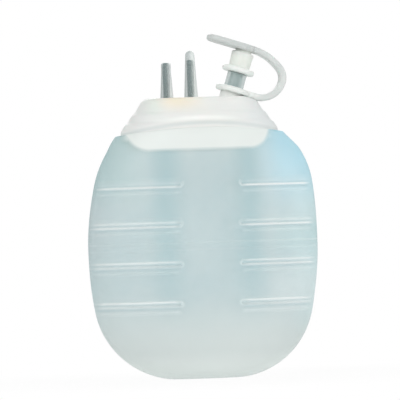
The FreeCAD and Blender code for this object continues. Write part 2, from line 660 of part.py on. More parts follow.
def make_sealed_inlet():
    """The spare inlet: its bore ends below a solid domed tip that is cut off for use."""
    bore_end = f"{CAP_TOP} + dim.sealed_length - dim.sealed_tip_solid"
    dome_foot = f"{CAP_TOP} + dim.sealed_length - dim.sealed_tip_radius"
    corners = inlet_root("dim.sealed_base_radius") + [
        ("dim.sealed_tip_radius", dome_foot),
        ("0", dome_foot),
        ("0", bore_end),
        ("dim.inlet_bore_radius", bore_end),
    ]
    body = doc.addObject("PartDesign::Body", "inlet_port_sealed")
    sketch = upright_sketch("inlet_port_sealed_profile", body)
    add_polygon(sketch, corners)
    # The flat end of the outline is the dome's chord, so the dome is a second revolved outline
    turned = body.newObject("PartDesign::Revolution", "inlet_sealed_turned")
    turned.Profile = sketch
    turned.ReferenceAxis = (sketch, ["V_Axis"])
    turned.Angle = 360
    doc.recompute()
    dome_sketch = upright_sketch("inlet_dome_profile", body)
    bend = value("dim.sealed_tip_radius")
    level = value(dome_foot)
    chord = add_line(dome_sketch, (0, level), (bend, level))
    arc = add_arc(dome_sketch, (0, level), bend, 0, math.pi / 2)
    axis = add_line(dome_sketch, (0, level + bend), (0, level))
    meet(dome_sketch, chord, arc)
    meet(dome_sketch, arc, axis)
    meet(dome_sketch, axis, chord)
    hold(dome_sketch, chord, START, "0", dome_foot)
    hold(dome_sketch, arc, CENTRE, "0", dome_foot)
    dome_sketch.addConstraint(Constraint("Horizontal", chord))
    dome_sketch.addConstraint(Constraint("Vertical", axis))
    bind(dome_sketch, Constraint("Radius", arc, bend), "dim.sealed_tip_radius")
    dome = body.newObject("PartDesign::Revolution", "inlet_dome_turned")
    dome.Profile = dome_sketch
    dome.ReferenceAxis = (dome_sketch, ["V_Axis"])
    dome.Angle = 360
    doc.recompute()
    body.setExpression("Placement.Base.x", "-dim.inlet_sealed_offset")
    return body


def ellipse(name, half_width, half_depth, height):
    curve = doc.addObject("Part::Ellipse", name)
    curve.setExpression("MajorRadius", half_width)
    curve.setExpression("MinorRadius", half_depth)
    curve.setExpression("Placement.Base.z", height)
    return curve


def lofted(name, sections):
    loft = doc.addObject("Part::Loft", name)
    loft.Sections = sections
    loft.Solid = True
    loft.Ruled = True
    return loft


def make_valve(name, x):
    """A duckbill valve: a head in the cap's pocket, a sleeve, and a bill that narrows to two lips."""
    lips = f"{VALVE_BODY_FOOT} - dim.valve_bill_length"
    head = cylinder(f"{name}_head", "dim.inlet_flange_radius", "dim.valve_head_height", VALVE_HEAD_FOOT)
    sleeve = cylinder(f"{name}_sleeve", "dim.valve_body_radius", "dim.valve_body_length", VALVE_BODY_FOOT)
    bill = lofted(f"{name}_bill", [
        ellipse(f"{name}_bill_top", "dim.valve_body_radius", "dim.valve_body_radius", VALVE_BODY_FOOT),
        ellipse(f"{name}_bill_lips", "dim.valve_lip_half_width", "dim.valve_lip_half_thickness", lips),
    ])
    outside = joined(f"{name}_outside", [head, sleeve, bill])
    socket_foot = f"{FLANGE_FOOT} - dim.inlet_stub_length"
    socket_radius = "dim.inlet_stub_radius + dim.bond_gap"
    socket_height = "dim.inlet_stub_length + dim.tool_overrun"
    socket = cylinder(f"{name}_socket", socket_radius, socket_height, socket_foot)
    bore_height = f"{socket_foot} - {VALVE_BODY_FOOT}"
    bore = cylinder(f"{name}_bore", "dim.valve_bore_radius", bore_height, VALVE_BODY_FOOT)
    slit = lofted(f"{name}_slit", [
        ellipse(f"{name}_slit_top", "dim.valve_bore_radius", "dim.valve_bore_radius", VALVE_BODY_FOOT),
        ellipse(f"{name}_slit_lips", "dim.valve_slit_half_width", "dim.valve_slit_half_gap", lips),
    ])
    valve = cut(name, outside, joined(f"{name}_way", [socket, bore, slit]))
    valve.setExpression("Placement.Base.x", x)
    return valve


def make_spout():
    body = turned_body("spout_tube", (
        ("dim.spout_bore_radius", "-dim.spout_root"),
        ("dim.spout_radius", "-dim.spout_root"),
        ("dim.spout_radius", "dim.spout_length"),
        ("dim.spout_bore_radius", "dim.spout_length"),
    ))
    edges = circle_edges(body.Shape, value("dim.spout_radius"), value("dim.spout_length"))
    rounded(body, "spout_mouth_rounding", edges, "dim.spout_mouth_rounding")
    stand_on_spout(body)
    return body


def section_of_strap(sketch):
    """The strap's section: a bar with rounded edges that lies on the tether's seat."""
    half = "dim.strap_width / 2"
    bend = "dim.strap_edge_radius"
    across = value(half) - value(bend)
    low = value(f"dim.tether_seat + {bend}")
    high = value(f"dim.tether_seat + dim.strap_thickness - {bend}")
    radius = value(bend)
    places = ((across, low), (across, high), (-across, high), (-across, low))
    corners = []
    for index, place in enumerate(places):
        first = (index - 1) * math.pi / 2
        corners.append(add_arc(sketch, place, radius, first, first + math.pi / 2))
    for index, corner in enumerate(corners):
        following = corners[(index + 1) % len(corners)]
        here = sketch.Geometry[corner].EndPoint
        there = sketch.Geometry[following].StartPoint
        edge = add_line(sketch, (here.x, here.y), (there.x, there.y))
        smooth(sketch, corner, edge)
        smooth(sketch, edge, following)
        bind(sketch, Constraint("Radius", corner, radius), bend)
        if index == 0:
            sketch.addConstraint(Constraint("Vertical", edge))
    hold(sketch, corners[0], CENTRE, f"{half} - {bend}", f"dim.tether_seat + {bend}")
    upper = f"dim.tether_seat + dim.strap_thickness - {bend}"
    hold(sketch, corners[2], CENTRE, f"-({half} - {bend})", upper)


def make_collar():
    """The ring round the spout's foot, with its flange and the arm that the strap runs out of."""
    bore = "dim.spout_radius + dim.bond_gap"
    ring_top = "dim.tether_seat + dim.strap_thickness"
    body = turned_body("tether_collar", (
        (bore, "dim.tether_seat"),
        ("dim.collar_foot_radius", "dim.tether_seat"),
        ("dim.collar_foot_radius", COLLAR_FLANGE_FOOT),
        ("dim.collar_flange_radius", COLLAR_FLANGE_FOOT),
        ("dim.collar_flange_radius", COLLAR_FLANGE_TOP),
        ("dim.collar_foot_radius", COLLAR_FLANGE_TOP),
        ("dim.collar_foot_radius", ring_top),
        (bore, ring_top),
    ))
    flange = value("dim.collar_flange_radius")
    edges = circle_edges(body.Shape, flange, value(COLLAR_FLANGE_FOOT))
    edges += circle_edges(body.Shape, flange, value(COLLAR_FLANGE_TOP))
    rounded(body, "collar_flange_rounding", edges, "dim.collar_flange_rounding")

    # The arm starts inside the ring's wall
    inner = "(dim.spout_radius + dim.collar_foot_radius) / 2"
    sketch = body.newObject("Sketcher::SketchObject", "collar_arm_section")
    sketch.AttachmentSupport = (origin_plane(body, "YZ_Plane"), [""])
    sketch.MapMode = "FlatFace"
    sketch.setExpression("AttachmentOffset.Base.z", inner)
    section_of_strap(sketch)
    arm = body.newObject("PartDesign::Pad", "collar_arm")
    arm.Profile = sketch
    arm.setExpression("Length", f"dim.collar_arm - {inner}")
    doc.recompute()
    stand_on_spout(body)
    return body


def make_strap():
    """The strap: a flat bar swept round a loop of one straight run and three smooth arcs."""
    low, high = value(STRAP_LOW), value(STRAP_HIGH)
    arm = value("dim.collar_arm")
    crown_start = value("dim.loop_start")
    crown_radius = value("dim.loop_crown_radius")
    crown_turn = math.radians(value("dim.loop_crown_angle"))
    crown_centre = (crown_start, high - crown_radius)
    turn_radius = value("dim.loop_turn_radius")
    knee = (
        crown_centre[0] + (crown_radius - turn_radius) * math.sin(crown_turn),
        crown_centre[1] + (crown_radius - turn_radius) * math.cos(crown_turn),
    )
    lower_radius = knee[1] - low
    path = upright_sketch("strap_path")
    run = add_line(path, (arm, low), (knee[0] + turn_radius - lower_radius, low))
    lower = add_arc(path, (knee[0] + turn_radius - lower_radius, knee[1]), lower_radius, -math.pi / 2, 0)
    turn = add_arc(path, knee, turn_radius, 0, math.pi / 2 - crown_turn)
    crown = add_arc(path, crown_centre, crown_radius, math.pi / 2 - crown_turn, math.pi / 2)
    hold(path, run, START, "dim.collar_arm", STRAP_LOW)
    path.addConstraint(Constraint("Horizontal", run))
    smooth(path, run, lower)
    smooth(path, lower, turn)
    smooth(path, turn, crown)
    hold(path, crown, END, "dim.loop_start", STRAP_HIGH)
    bind(path, Constraint("DistanceX", *ORIGIN, crown, CENTRE, crown_start), "dim.loop_start")
    bind(path, Constraint("Radius", crown, crown_radius), "dim.loop_crown_radius")
    bind(path, Constraint("Radius", turn, turn_radius), "dim.loop_turn_radius")
    inset = "(dim.loop_crown_radius - dim.loop_turn_radius)"
    turn_centre = f"dim.loop_start + {inset} * sin(dim.loop_crown_angle * 1 deg)"
    bind(path, Constraint("DistanceX", *ORIGIN, turn, CENTRE, knee[0]), turn_centre)
    level_gap = Constraint("DistanceY", lower, CENTRE, turn, CENTRE, 0)
    path.addConstraint(level_gap)

    section = doc.addObject("Sketcher::SketchObject", "strap_section")
    section.Placement = Placement(Vector(arm, 0, 0), Rotation(Vector(1, 1, 1), 120))
    section.setExpression("Placement.Base.x", "dim.collar_arm")
    section_of_strap(section)
    sweep = doc.addObject("Part::Sweep", "tether_strap")
    sweep.Sections = [section]
    sweep.Spine = (path, ["Edge1", "Edge2", "Edge3", "Edge4"])
    sweep.Solid = True
    sweep.Frenet = False
    stand_on_spout(sweep)
    return sweep


def make_pull_tab(body):
    """The pull tab: a plate with a half-round end to the left and the strap's section on its right."""
    narrow, wide = "dim.strap_width / 2", "dim.tab_width / 2"
    end_centre = f"-(dim.tab_length - {wide})"
    sketch = body.newObject("Sketcher::SketchObject", "pull_tab_plan")
    sketch.AttachmentSupport = (origin_plane(body, "XY_Plane"), [""])
    sketch.MapMode = "FlatFace"
    sketch.setExpression("AttachmentOffset.Base.z", TAB_FOOT)
    corners = (
        (end_centre, f"-({wide})"),
        ("0", f"-({wide})"),
        ("dim.loop_start", f"-({narrow})"),
        ("dim.loop_start", narrow),
        ("0", wide),
        (end_centre, wide),
    )
    places = [(value(x), value(y)) for x, y in corners]
    edges = [add_line(sketch, place, following) for place, following in zip(places, places[1:])]
    for first, second in zip(edges, edges[1:]):
        meet(sketch, first, second)
    for edge, (x, y) in zip(edges[1:], corners[1:]):
        hold(sketch, edge, START, x, y)
    end = add_arc(sketch, (value(end_centre), 0), value(wide), math.pi / 2, 3 * math.pi / 2)
    smooth(sketch, edges[-1], end)
    smooth(sketch, end, edges[0])
    hold(sketch, end, CENTRE, end_centre, "0")
    pad = body.newObject("PartDesign::Pad", "pull_tab")
    pad.Profile = sketch
    pad.setExpression("Length", "dim.strap_thickness")
    doc.recompute()
    rim = []
    for index, edge in enumerate(body.Shape.Edges, start=1):
        level = edge.BoundBox.ZLength < SAME_PLACE
        at_strap = abs(edge.BoundBox.XMin - value("dim.loop_start")) < SAME_PLACE
        if level and not at_strap:
            rim.append(f"Edge{index}")
    rounded(body, "pull_tab_rounding", rim, "dim.strap_edge_radius")


def make_stopper():
    """The stopper: tapered stem, flange, flared body, and neck under the pull tab the strap runs into."""
    body = doc.addObject("PartDesign::Body", "stopper")
    make_pull_tab(body)
    stem_top = "(dim.spout_bore_radius - dim.stem_clearance)"
    body_top = "(dim.stopper_body_radius + dim.stopper_body_flare)"
    sketch = upright_sketch("stopper_profile", body)
    add_polygon(sketch, (
        ("0", "dim.spout_length - dim.stem_length"),
        (f"{stem_top} - dim.stem_narrowing", "dim.spout_length - dim.stem_length"),
        (stem_top, "dim.spout_length"),
        ("dim.stopper_flange_radius", "dim.spout_length"),
        ("dim.stopper_flange_radius", STOPPER_BODY_FOOT),
        ("dim.stopper_body_radius", STOPPER_BODY_FOOT),
        (body_top, STOPPER_NECK_FOOT),
        ("dim.stopper_neck_radius", STOPPER_NECK_FOOT),
        ("dim.stopper_neck_radius", STRAP_HIGH),
        ("0", STRAP_HIGH),
    ))
    turned = body.newObject("PartDesign::Revolution", "stopper_turned")
    turned.Profile = sketch
    turned.ReferenceAxis = (sketch, ["V_Axis"])
    turned.Angle = 360
    doc.recompute()
    flange = value("dim.stopper_flange_radius")
    edges = circle_edges(body.Shape, flange, value(STOPPER_BODY_FOOT))
    edges += circle_edges(body.Shape, flange, value("dim.spout_length"))
    rounded(body, "stopper_flange_rounding", edges, "dim.stopper_flange_rounding")
    edges = circle_edges(body.Shape, value(body_top), value(STOPPER_NECK_FOOT))
    rounded(body, "stopper_body_rounding", edges, "dim.stopper_body_rounding")
    stand_on_spout(body)
    return body


saddle = make_saddle()
nodes = {
    "bulb": make_bulb(saddle),
    "port_cap": make_cap(saddle),
    "inlet_port_open": make_open_inlet(),
    "inlet_port_sealed": make_sealed_inlet(),
    "inlet_valve_open_side": make_valve("inlet_valve_open_side", "-dim.inlet_open_offset"),
    "inlet_valve_sealed_side": make_valve("inlet_valve_sealed_side", "-dim.inlet_sealed_offset"),
    "spout_tube": make_spout(),
    "tether_collar": make_collar(),
    "tether_strap": make_strap(),
    "stopper": make_stopper(),
}
doc.recompute()

for item in doc.Objects:
    if "Invalid" in item.State or "Error" in item.State:
        raise RuntimeError(f"{item.Name} is not valid: {item.State}")

os.makedirs("parts", exist_ok=True)
for node, item in nodes.items():
    item.Label = node
    shape = item.Shape
    if shape.isNull() or not shape.isValid() or len(shape.Solids) != 1:
        raise RuntimeError(f"{node} is not one valid solid")
    shape.exportStep(f"parts/{node}.step")
    print(node, round(shape.Volume, 2), len(shape.Faces))
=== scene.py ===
"""Looks of the drain bulb reservoir.

It has a soft bluish silicone bulb, a milky cap, clear inlets and a tethered stopper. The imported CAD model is
the fixed frame, in metres. Lengths here are written in millimetres and turned into metres where a mesh is
made. The front face looks along -Y, and the bulb stands on Z = 0.
"""
import math

import bmesh
import bpy
import numpy as np
from mathutils import Matrix, Vector


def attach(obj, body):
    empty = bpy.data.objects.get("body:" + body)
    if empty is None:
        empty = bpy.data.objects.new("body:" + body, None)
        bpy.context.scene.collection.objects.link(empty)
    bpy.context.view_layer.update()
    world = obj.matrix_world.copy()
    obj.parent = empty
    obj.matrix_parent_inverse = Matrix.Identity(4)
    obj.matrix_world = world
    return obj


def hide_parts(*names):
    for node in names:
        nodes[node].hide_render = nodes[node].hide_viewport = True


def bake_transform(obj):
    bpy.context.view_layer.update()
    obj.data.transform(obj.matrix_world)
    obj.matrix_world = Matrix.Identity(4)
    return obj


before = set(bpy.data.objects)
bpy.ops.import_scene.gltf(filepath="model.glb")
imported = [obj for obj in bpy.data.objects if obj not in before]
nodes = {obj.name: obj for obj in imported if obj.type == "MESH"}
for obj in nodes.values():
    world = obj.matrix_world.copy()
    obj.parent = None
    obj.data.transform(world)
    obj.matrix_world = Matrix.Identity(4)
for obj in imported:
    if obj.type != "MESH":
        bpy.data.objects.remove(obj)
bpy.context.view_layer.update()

MM = 0.001

# The bulb's outline, as in the CAD part
HALF_WIDTH = 38.0
HALF_DEPTH = 17.0
WIDEST_HEIGHT = 43.5
SIDE_RADIUS = 114.0
CORNER_RADIUS = 27.2
FOOT_TRIM = 0.1
SHOULDER_DROP = 16.3
SHOULDER_RADIUS = 30.6
SLOPE = math.radians(39.4)
NECK_HEIGHT = 80.0
SADDLE_RADIUS = 34.0
WALL = 1.8
RIM_THICKNESS = 4.24
NECK_LAND = 2.5
NECK_LAND_LEAD = 0.6
CAP_TOP = NECK_HEIGHT + 12.0

# What follows from it: the side curve's ends, the arcs' centres, the slant, the neck and the oval's flatness
FALL = math.asin((WIDEST_HEIGHT - CORNER_RADIUS + FOOT_TRIM) / (SIDE_RADIUS - CORNER_RADIUS))
RISE = math.asin((NECK_HEIGHT - SHOULDER_DROP - WIDEST_HEIGHT) / SIDE_RADIUS)
SIDE_CENTRE = HALF_WIDTH - SIDE_RADIUS
CORNER_X = SIDE_CENTRE + (SIDE_RADIUS - CORNER_RADIUS) * math.cos(FALL)
CORNER_Z = CORNER_RADIUS - FOOT_TRIM
SHOULDER_X = SIDE_CENTRE + (SIDE_RADIUS - SHOULDER_RADIUS) * math.cos(RISE)
SHOULDER_Z = WIDEST_HEIGHT + (SIDE_RADIUS - SHOULDER_RADIUS) * math.sin(RISE)
SLANT_X = SHOULDER_X + SHOULDER_RADIUS * math.cos(SLOPE)
SLANT_Z = SHOULDER_Z + SHOULDER_RADIUS * math.sin(SLOPE)
RIM_HALF_WIDTH = SLANT_X - (NECK_HEIGHT - SLANT_Z) * math.tan(SLOPE)
NECK_BORE = RIM_HALF_WIDTH - RIM_THICKNESS
OUTER_FLATNESS = HALF_DEPTH / HALF_WIDTH
INNER_FLATNESS = (HALF_DEPTH - WALL) / (HALF_WIDTH - WALL)

# Ribs
RIB_ROWS = 4
RIB_FIRST_HEIGHT = 24.7
RIB_PITCH = 12.93
RIB_BAND = 1.8
RIB_RAISE = 0.4
RIB_EDGE = 0.85
RIB_GAP_HALF_WIDTH = 9.6
RIB_SIDE_MARGIN = 1.4
RIB_HEIGHTS = [RIB_FIRST_HEIGHT + row * RIB_PITCH for row in range(RIB_ROWS)]

# How far the soft bulb leans to the right high up and to the left low down, and where it leans most
LEAN_HIGH = 0.92
LEAN_LOW = 0.28
LEAN_TOP = 73.0

# The cap, whose steps are a little softer than the solid's
CAP_INSET = 1.77
CAP_NARROWING = 6.2
CAP_LIP = 1.2
CAP_STEPS = 3
CAP_STEP_HEIGHT = 3.15
CAP_LEDGE = 1.2
CAP_LEDGE_RISE = 1.0
CAP_STEP_BEND = 0.55
CAP_CORNER = 3.4
CAP_CEILING = 5.5
SKIRT_WALL = 2.0
SKIRT_MOUTH_INSET = 4.0
SKIRT_KNEE_DROP = 1.4
BOSS_RADIUS = 3.8
BOSS_ROOT = 3.0
TETHER_SEAT = 1.0
SPOUT_HOLE_RADIUS = 3.25

# The cap's skirt inside the neck
SKIRT_FOOT = NECK_HEIGHT - 5.5
SKIRT_HALF_WIDTH = 23.4
SKIRT_CORNER = 8.0
# White is painted on the wall over the skirt, as painted light over the skirt's shade, a little further out on
# the left
OVER_SKIRT_MIDDLE = -1.9
OVER_SKIRT_HALF_WIDTH = 24.3
# The rim's white band of painted light, over the shade in the rim, sets in between these depths under it, and
# ends nearer the middle on the right
RIM_BAND_LOW = 2.6
RIM_BAND_HIGH = 0.8
RIM_BAND_SHIFT = 4.5

# How opaque the bulb's wall shows, and how much more at the foot, on the ribs, seen along it and where white
WALL_ALPHA = 0.48
FOOT_ALPHA = 0.14
RIB_ALPHA = 0.55
EDGE_ALPHA = 0.5
WHITE_ALPHA = 0.4

# The share of the light that passes on through the soft wall
LIGHT_THROUGH = 0.75

# The bulb's tones, as all colours here in linear red, green and blue
WALL_TONE_DEEP = (0.39, 0.56, 0.59)
WALL_TONE_PALE = (0.49, 0.63, 0.64)
FOOT_TONE = (0.68, 0.75, 0.73)
# Painted light under the bulb, where it curves in
UNDER_LIGHT_TONE = (0.88, 0.95, 0.91)
# Painted shade in bands beside the plain panel, and at the upper left edge
BAND_SHADE_TONE = (0.21, 0.45, 0.49)
EDGE_SHADE_TONE = (0.46, 0.56, 0.58)
# Painted light on the right and low on the right; painted shade midway on the right and high on the left
RIGHT_TONE = (0.66, 0.88, 0.90)
RIGHT_LOW_LIGHT_TONE = (0.70, 0.80, 0.80)
RIGHT_MID_SHADE_TONE = (0.38, 0.64, 0.66)
LEFT_TONE = (0.28, 0.54, 0.54)
# A painted highlight on the right shoulder
SHOULDER_HIGHLIGHT_TONE = (0.38, 0.78, 0.95)
# Painted highlights along the ribs' edges and the seam
HIGHLIGHT_TONE = (0.98, 1.0, 0.99)
SHADE_TONE = (0.30, 0.47, 0.52)
# White painted light over the skirt and the rim, where shade falls
OVER_SKIRT_LIGHT_TONE = (0.83, 0.87, 0.84)

# The cap's and the closure's tones
# Painted light: the skirt inside the bulb is paler than the rest of the cap, against the shade there
LIT_SKIRT_TONE = (0.96, 0.98, 0.96)
CAP_LEFT_TONE = (0.74, 0.82, 0.76)
CAP_RIGHT_TONE = (0.74, 0.79, 0.81)
# Painted shade at the cap's lowest ledge, and a painted highlight above it
CAP_STEP_SHADE_TONE = (0.64, 0.69, 0.68)
GLEAM_TONE = (0.95, 0.97, 0.94)
# Painted light round the spout's boss, against the shade under the collar's flange
LIT_BOSS_TONE = (0.97, 1.0, 0.97)
# Painted light on the collar's flange, against the shade under it, and on the stopper's body, against the
# tab's shade
FLANGE_TONE = (0.90, 0.94, 0.90)
LIT_BODY_TONE = (0.83, 0.86, 0.80)
TAB_TONE = (0.55, 0.58, 0.57)
VALVE_GLOW = (0.88, 0.78, 0.60)
PORT_SHADE = (0.16, 0.25, 0.25)

# The fine grain on soft parts and the flow streaks in clear ones: scales, and depths in metres
GRAIN = 900
FINE_GRAIN = 1200
GRAIN_DEPTH = 0.00003
STREAKS = 300
STREAK_DEPTH = 0.00004
BUMP_STRENGTH = 0.4

# A rib's pale lines of painted highlight, from the lowest rib up: the upper line's strength and width, then
# the lower line's
LEFT_LINES = (
    (0.68, 0.42, 0.42, 0.55),
    (0.62, 0.45, 0.48, 0.52),
    (0.5, 0.55, 0.68, 0.4),
    (0.42, 0.6, 0.75, 0.38),
)
RIGHT_LINES = (
    (0.66, 0.42, 0.42, 0.5),
    (0.6, 0.42, 0.7, 0.4),
    (0.45, 0.55, 0.85, 0.36),
    (0.4, 0.6, 0.95, 0.34),
)
LINE_REACH = 0.68
SHADE_DROP = 1.4
FAINT_LINE_DROP = 2.6

# The bulb's own seam runs round it, with a fainter line below. The cap's painted shade line at its lowest
# ledge, with the painted highlight above it, bows down towards its ends
SEAM_HEIGHT = 44.5
SECOND_SEAM_DROP = 2.2
CAP_STEP_SHADE_HEIGHT = 83.5
CAP_GLEAM_HEIGHT = 85.2
CAP_LINE_BOW = 0.0046

# The spout's frame: t runs across it to the right and s along it, from its foot on the cap's top
SPOUT_OFFSET = 10.9
SPOUT_TILT = math.radians(17.6)

# The inlets. The clear wall makes the bore in it look wider than it is at the mouth
INLET_OPEN_OFFSET = 10.4
INLET_SEALED_OFFSET = 2.35
INLET_ROOT = 0.8
PORT_BORE = 0.9
PORT_CORE = 1.15

# The strap
STRAP_THICKNESS = 2.2
STRAP_WIDTH = 5.0
STRAP_EDGE = 0.9
STRAP_LOW = 2.1
COLLAR_ARM = 7.0
STRAP_HIGH = 16.8
LOOP_START = 2.7
CROWN_RADIUS = 16.7
CROWN_TURN = math.radians(38.3)
TURN_RADIUS = 5.1

# The middles of the stopper's flange and body along the spout
FLANGE_MIDDLE = 9.0
BODY_MIDDLE = 12.6

# Meshes: points that fall together are joined within this distance, and edges over this angle stay crisp
JOIN_DISTANCE = 0.001
CREASE = math.radians(35)

# The studio: the world's light, the floor, and the camera that stands where the photograph's did
WORLD_STRENGTH = 0.5
FLOOR_HALF = 1500.0
FLOOR_DROP = 0.02
SENSOR_WIDTH = 36.0
VIEW_WIDTH = 131.1 * MM
AIM = Vector((-0.56, 0.0, 58.39)) * MM
DISTANCE = 1.7
AZIMUTH = math.radians(-9.5)
ELEVATION = math.radians(-0.5)
ROLL = math.radians(1.93)


# Meshes in general
def new_object(name, vertices, faces, material, smooth=True):
    """A mesh object from points in millimetres."""
    mesh = bpy.data.meshes.new(name)
    mesh.from_pydata((np.asarray(vertices) * MM).tolist(), [], faces)
    mesh.validate()
    mesh.update()
    for polygon in mesh.polygons:
        polygon.use_smooth = smooth
    piece = bpy.data.objects.new(name, mesh)
    bpy.context.scene.collection.objects.link(piece)
    piece.data.materials.append(material)
    return piece


def grid_faces(rows, columns, turned=False):
    """Quads of a grid whose columns close into a ring."""
    faces = []
    for row in range(rows - 1):
        for column in range(columns):
            a = row * columns + column
            b = row * columns + (column + 1) % columns
            quad = (a, b, b + columns, a + columns)
            faces.append(quad[::-1] if turned else quad)
    return faces


def fan(centre, ring_start, columns, turned=False):
    """Triangles from a ring of points to the one point in its middle."""
    faces = []
    for column in range(columns):
        a, b = ring_start + column, ring_start + (column + 1) % columns
        faces.append((b, a, centre) if turned else (a, b, centre))
    return faces


def closed_faces(rows, columns, turned=False):
    """Faces over rings of points. A point for each end follows the rings, and a fan to it closes that end."""
    points = rows * columns
    faces = grid_faces(rows, columns, turned)
    faces += fan(points, 0, columns, not turned)
    faces += fan(points + 1, points - columns, columns, turned)
    return faces


def ring(angles, radius, flatness, height):
    """Points round an oval. The radius and the height are one number, or one for each angle."""
    heights = np.broadcast_to(height, angles.shape)
    return np.column_stack((radius * np.cos(angles), radius * flatness * np.sin(angles), heights))


def tidied(mesh):
    """Joins points that fall together, and drops the faces that vanish with them."""
    work = bmesh.new()
    work.from_mesh(mesh)
    bmesh.ops.remove_doubles(work, verts=work.verts, dist=JOIN_DISTANCE * MM)
    bmesh.ops.dissolve_degenerate(work, edges=work.edges, dist=JOIN_DISTANCE * MM)
    work.to_mesh(mesh)
    work.free()


# Materials in general
def material_with(name, colour, **values):
    """A material with one Principled shader. values are its sockets, with underscores for spaces."""
    material = bpy.data.materials.new(name)
    material.use_nodes = True
    tree = material.node_tree
    shader = tree.nodes["Principled BSDF"]
    shader.inputs["Base Color"].default_value = (*colour, 1)
    for socket, number in values.items():
        shader.inputs[socket.replace("_", " ")].default_value = number
    return material, tree, shader


def place_of(tree):
    """The object coordinates of a point, in metres of the row frame."""
    return tree.nodes.new("ShaderNodeTexCoord").outputs["Object"]


def math_node(tree, operation, first, second=None, third=None, clamp=False):
    """The result of one operation on sockets and numbers."""
    node = tree.nodes.new("ShaderNodeMath")
    node.operation = operation
    node.use_clamp = clamp
    for index, source in enumerate((first, second, third)):
        if source is None:
            continue
        if isinstance(source, (int, float)):
            node.inputs[index].default_value = source
        else:
            tree.links.new(source, node.inputs[index])
    return node.outputs[0]


def noise(tree, place, scale, detail=2.0, stretch=(1, 1, 1)):
    """A cloudy factor from 0 to 1 over a place."""
    mapping = tree.nodes.new("ShaderNodeMapping")
    mapping.inputs["Scale"].default_value = stretch
    tree.links.new(place, mapping.inputs["Vector"])
    texture = tree.nodes.new("ShaderNodeTexNoise")
    texture.inputs["Scale"].default_value = scale
    texture.inputs["Detail"].default_value = detail
    tree.links.new(mapping.outputs[0], texture.inputs["Vector"])
    return texture.outputs["Fac"]


def ramp(tree, factor, stops):
    """A colour ramp over a factor. stops are (position, colour)."""
    node = tree.nodes.new("ShaderNodeValToRGB")
    elements = node.color_ramp.elements
    while len(elements) < len(stops):
        elements.new(0.5)
    for element, (position, colour) in zip(elements, stops):
        element.position = position
        element.color = (*colour, 1)
    tree.links.new(factor, node.inputs[0])
    return node.outputs[0]


def mixed(tree, factor, first, second):
    """Mixes a colour's socket with a plain colour, which shows in full where the factor is 1."""
    node = tree.nodes.new("ShaderNodeMix")
    node.data_type = "RGBA"
    tree.links.new(factor, node.inputs[0])
    tree.links.new(first, node.inputs[6])
    node.inputs[7].default_value = (*second, 1)
    return node.outputs[2]


def bump(tree, shader, height, distance):
    """Raises the surface a little where the height is great, by up to a distance in metres."""
    node = tree.nodes.new("ShaderNodeBump")
    node.inputs["Strength"].default_value = BUMP_STRENGTH
    node.inputs["Distance"].default_value = distance
    tree.links.new(height, node.inputs["Height"])
    tree.links.new(node.outputs[0], shader.inputs["Normal"])


def let_light_through(tree, shader, share):
    """Lets a share of the light pass on through a translucent wall, as the soft silicone does."""
    rays = tree.nodes.new("ShaderNodeLightPath")
    shadow, diffuse = rays.outputs["Is Shadow Ray"], rays.outputs["Is Diffuse Ray"]
    passing = math_node(tree, "ADD", shadow, diffuse, clamp=True)
    clear = tree.nodes.new("ShaderNodeBsdfTransparent")
    mix = tree.nodes.new("ShaderNodeMixShader")
    tree.links.new(math_node(tree, "MULTIPLY", passing, share), mix.inputs[0])
    tree.links.new(shader.outputs[0], mix.inputs[1])
    tree.links.new(clear.outputs[0], mix.inputs[2])
    tree.links.new(mix.outputs[0], tree.nodes["Material Output"].inputs["Surface"])


def attribute(tree, name):
    """The values that a mesh holds for its points under a name."""
    node = tree.nodes.new("ShaderNodeAttribute")
    node.attribute_name = name
    return node.outputs["Fac"]


def parts_of(tree, place):
    """The x, y and z of a place."""
    node = tree.nodes.new("ShaderNodeSeparateXYZ")
    tree.links.new(place, node.inputs[0])
    return node.outputs[0], node.outputs[1], node.outputs[2]


def rising(tree, source, low, high, top=1.0):
    """Rises smoothly from 0 to top while a source goes from low to high, in millimetres.

    It falls if low is above high.
    """
    node = tree.nodes.new("ShaderNodeMapRange")
    node.interpolation_type = "SMOOTHSTEP"
    limits = (low, high, 0.0, top) if low < high else (high, low, top, 0.0)
    for index, number in enumerate(limits, start=1):
        node.inputs[index].default_value = number * MM if index < 3 else number
    tree.links.new(source, node.inputs[0])
    return node.outputs[0]


def hump(tree, source, middle, reach):
    """A smooth hump over a source, in millimetres."""
    up = rising(tree, source, middle - reach, middle)
    down = rising(tree, source, middle + reach, middle)
    return math_node(tree, "MULTIPLY", up, down)


def product(tree, *factors):
    """The factors multiplied together."""
    result = factors[0]
    for factor in factors[1:]:
        result = math_node(tree, "MULTIPLY", result, factor)
    return result


# The looks
def over_skirt(tree, x, z):
    """1 where the wall lies over the cap's white skirt: there the wall is painted white, as painted light over
    the skirt's shade.
    """
    side = math_node(tree, "ABSOLUTE", math_node(tree, "SUBTRACT", x, OVER_SKIRT_MIDDLE * MM))
    beyond = math_node(tree, "SUBTRACT", side, (OVER_SKIRT_HALF_WIDTH - SKIRT_CORNER) * MM)
    beyond = math_node(tree, "MAXIMUM", beyond, 0.0)
    below = math_node(tree, "SUBTRACT", (SKIRT_FOOT + SKIRT_CORNER) * MM, z)
    below = math_node(tree, "MAXIMUM", below, 0.0)
    squares = math_node(tree, "MULTIPLY_ADD", below, below, math_node(tree, "MULTIPLY", beyond, beyond))
    return rising(tree, math_node(tree, "SQRT", squares), SKIRT_CORNER + 0.5, SKIRT_CORNER - 1.3)


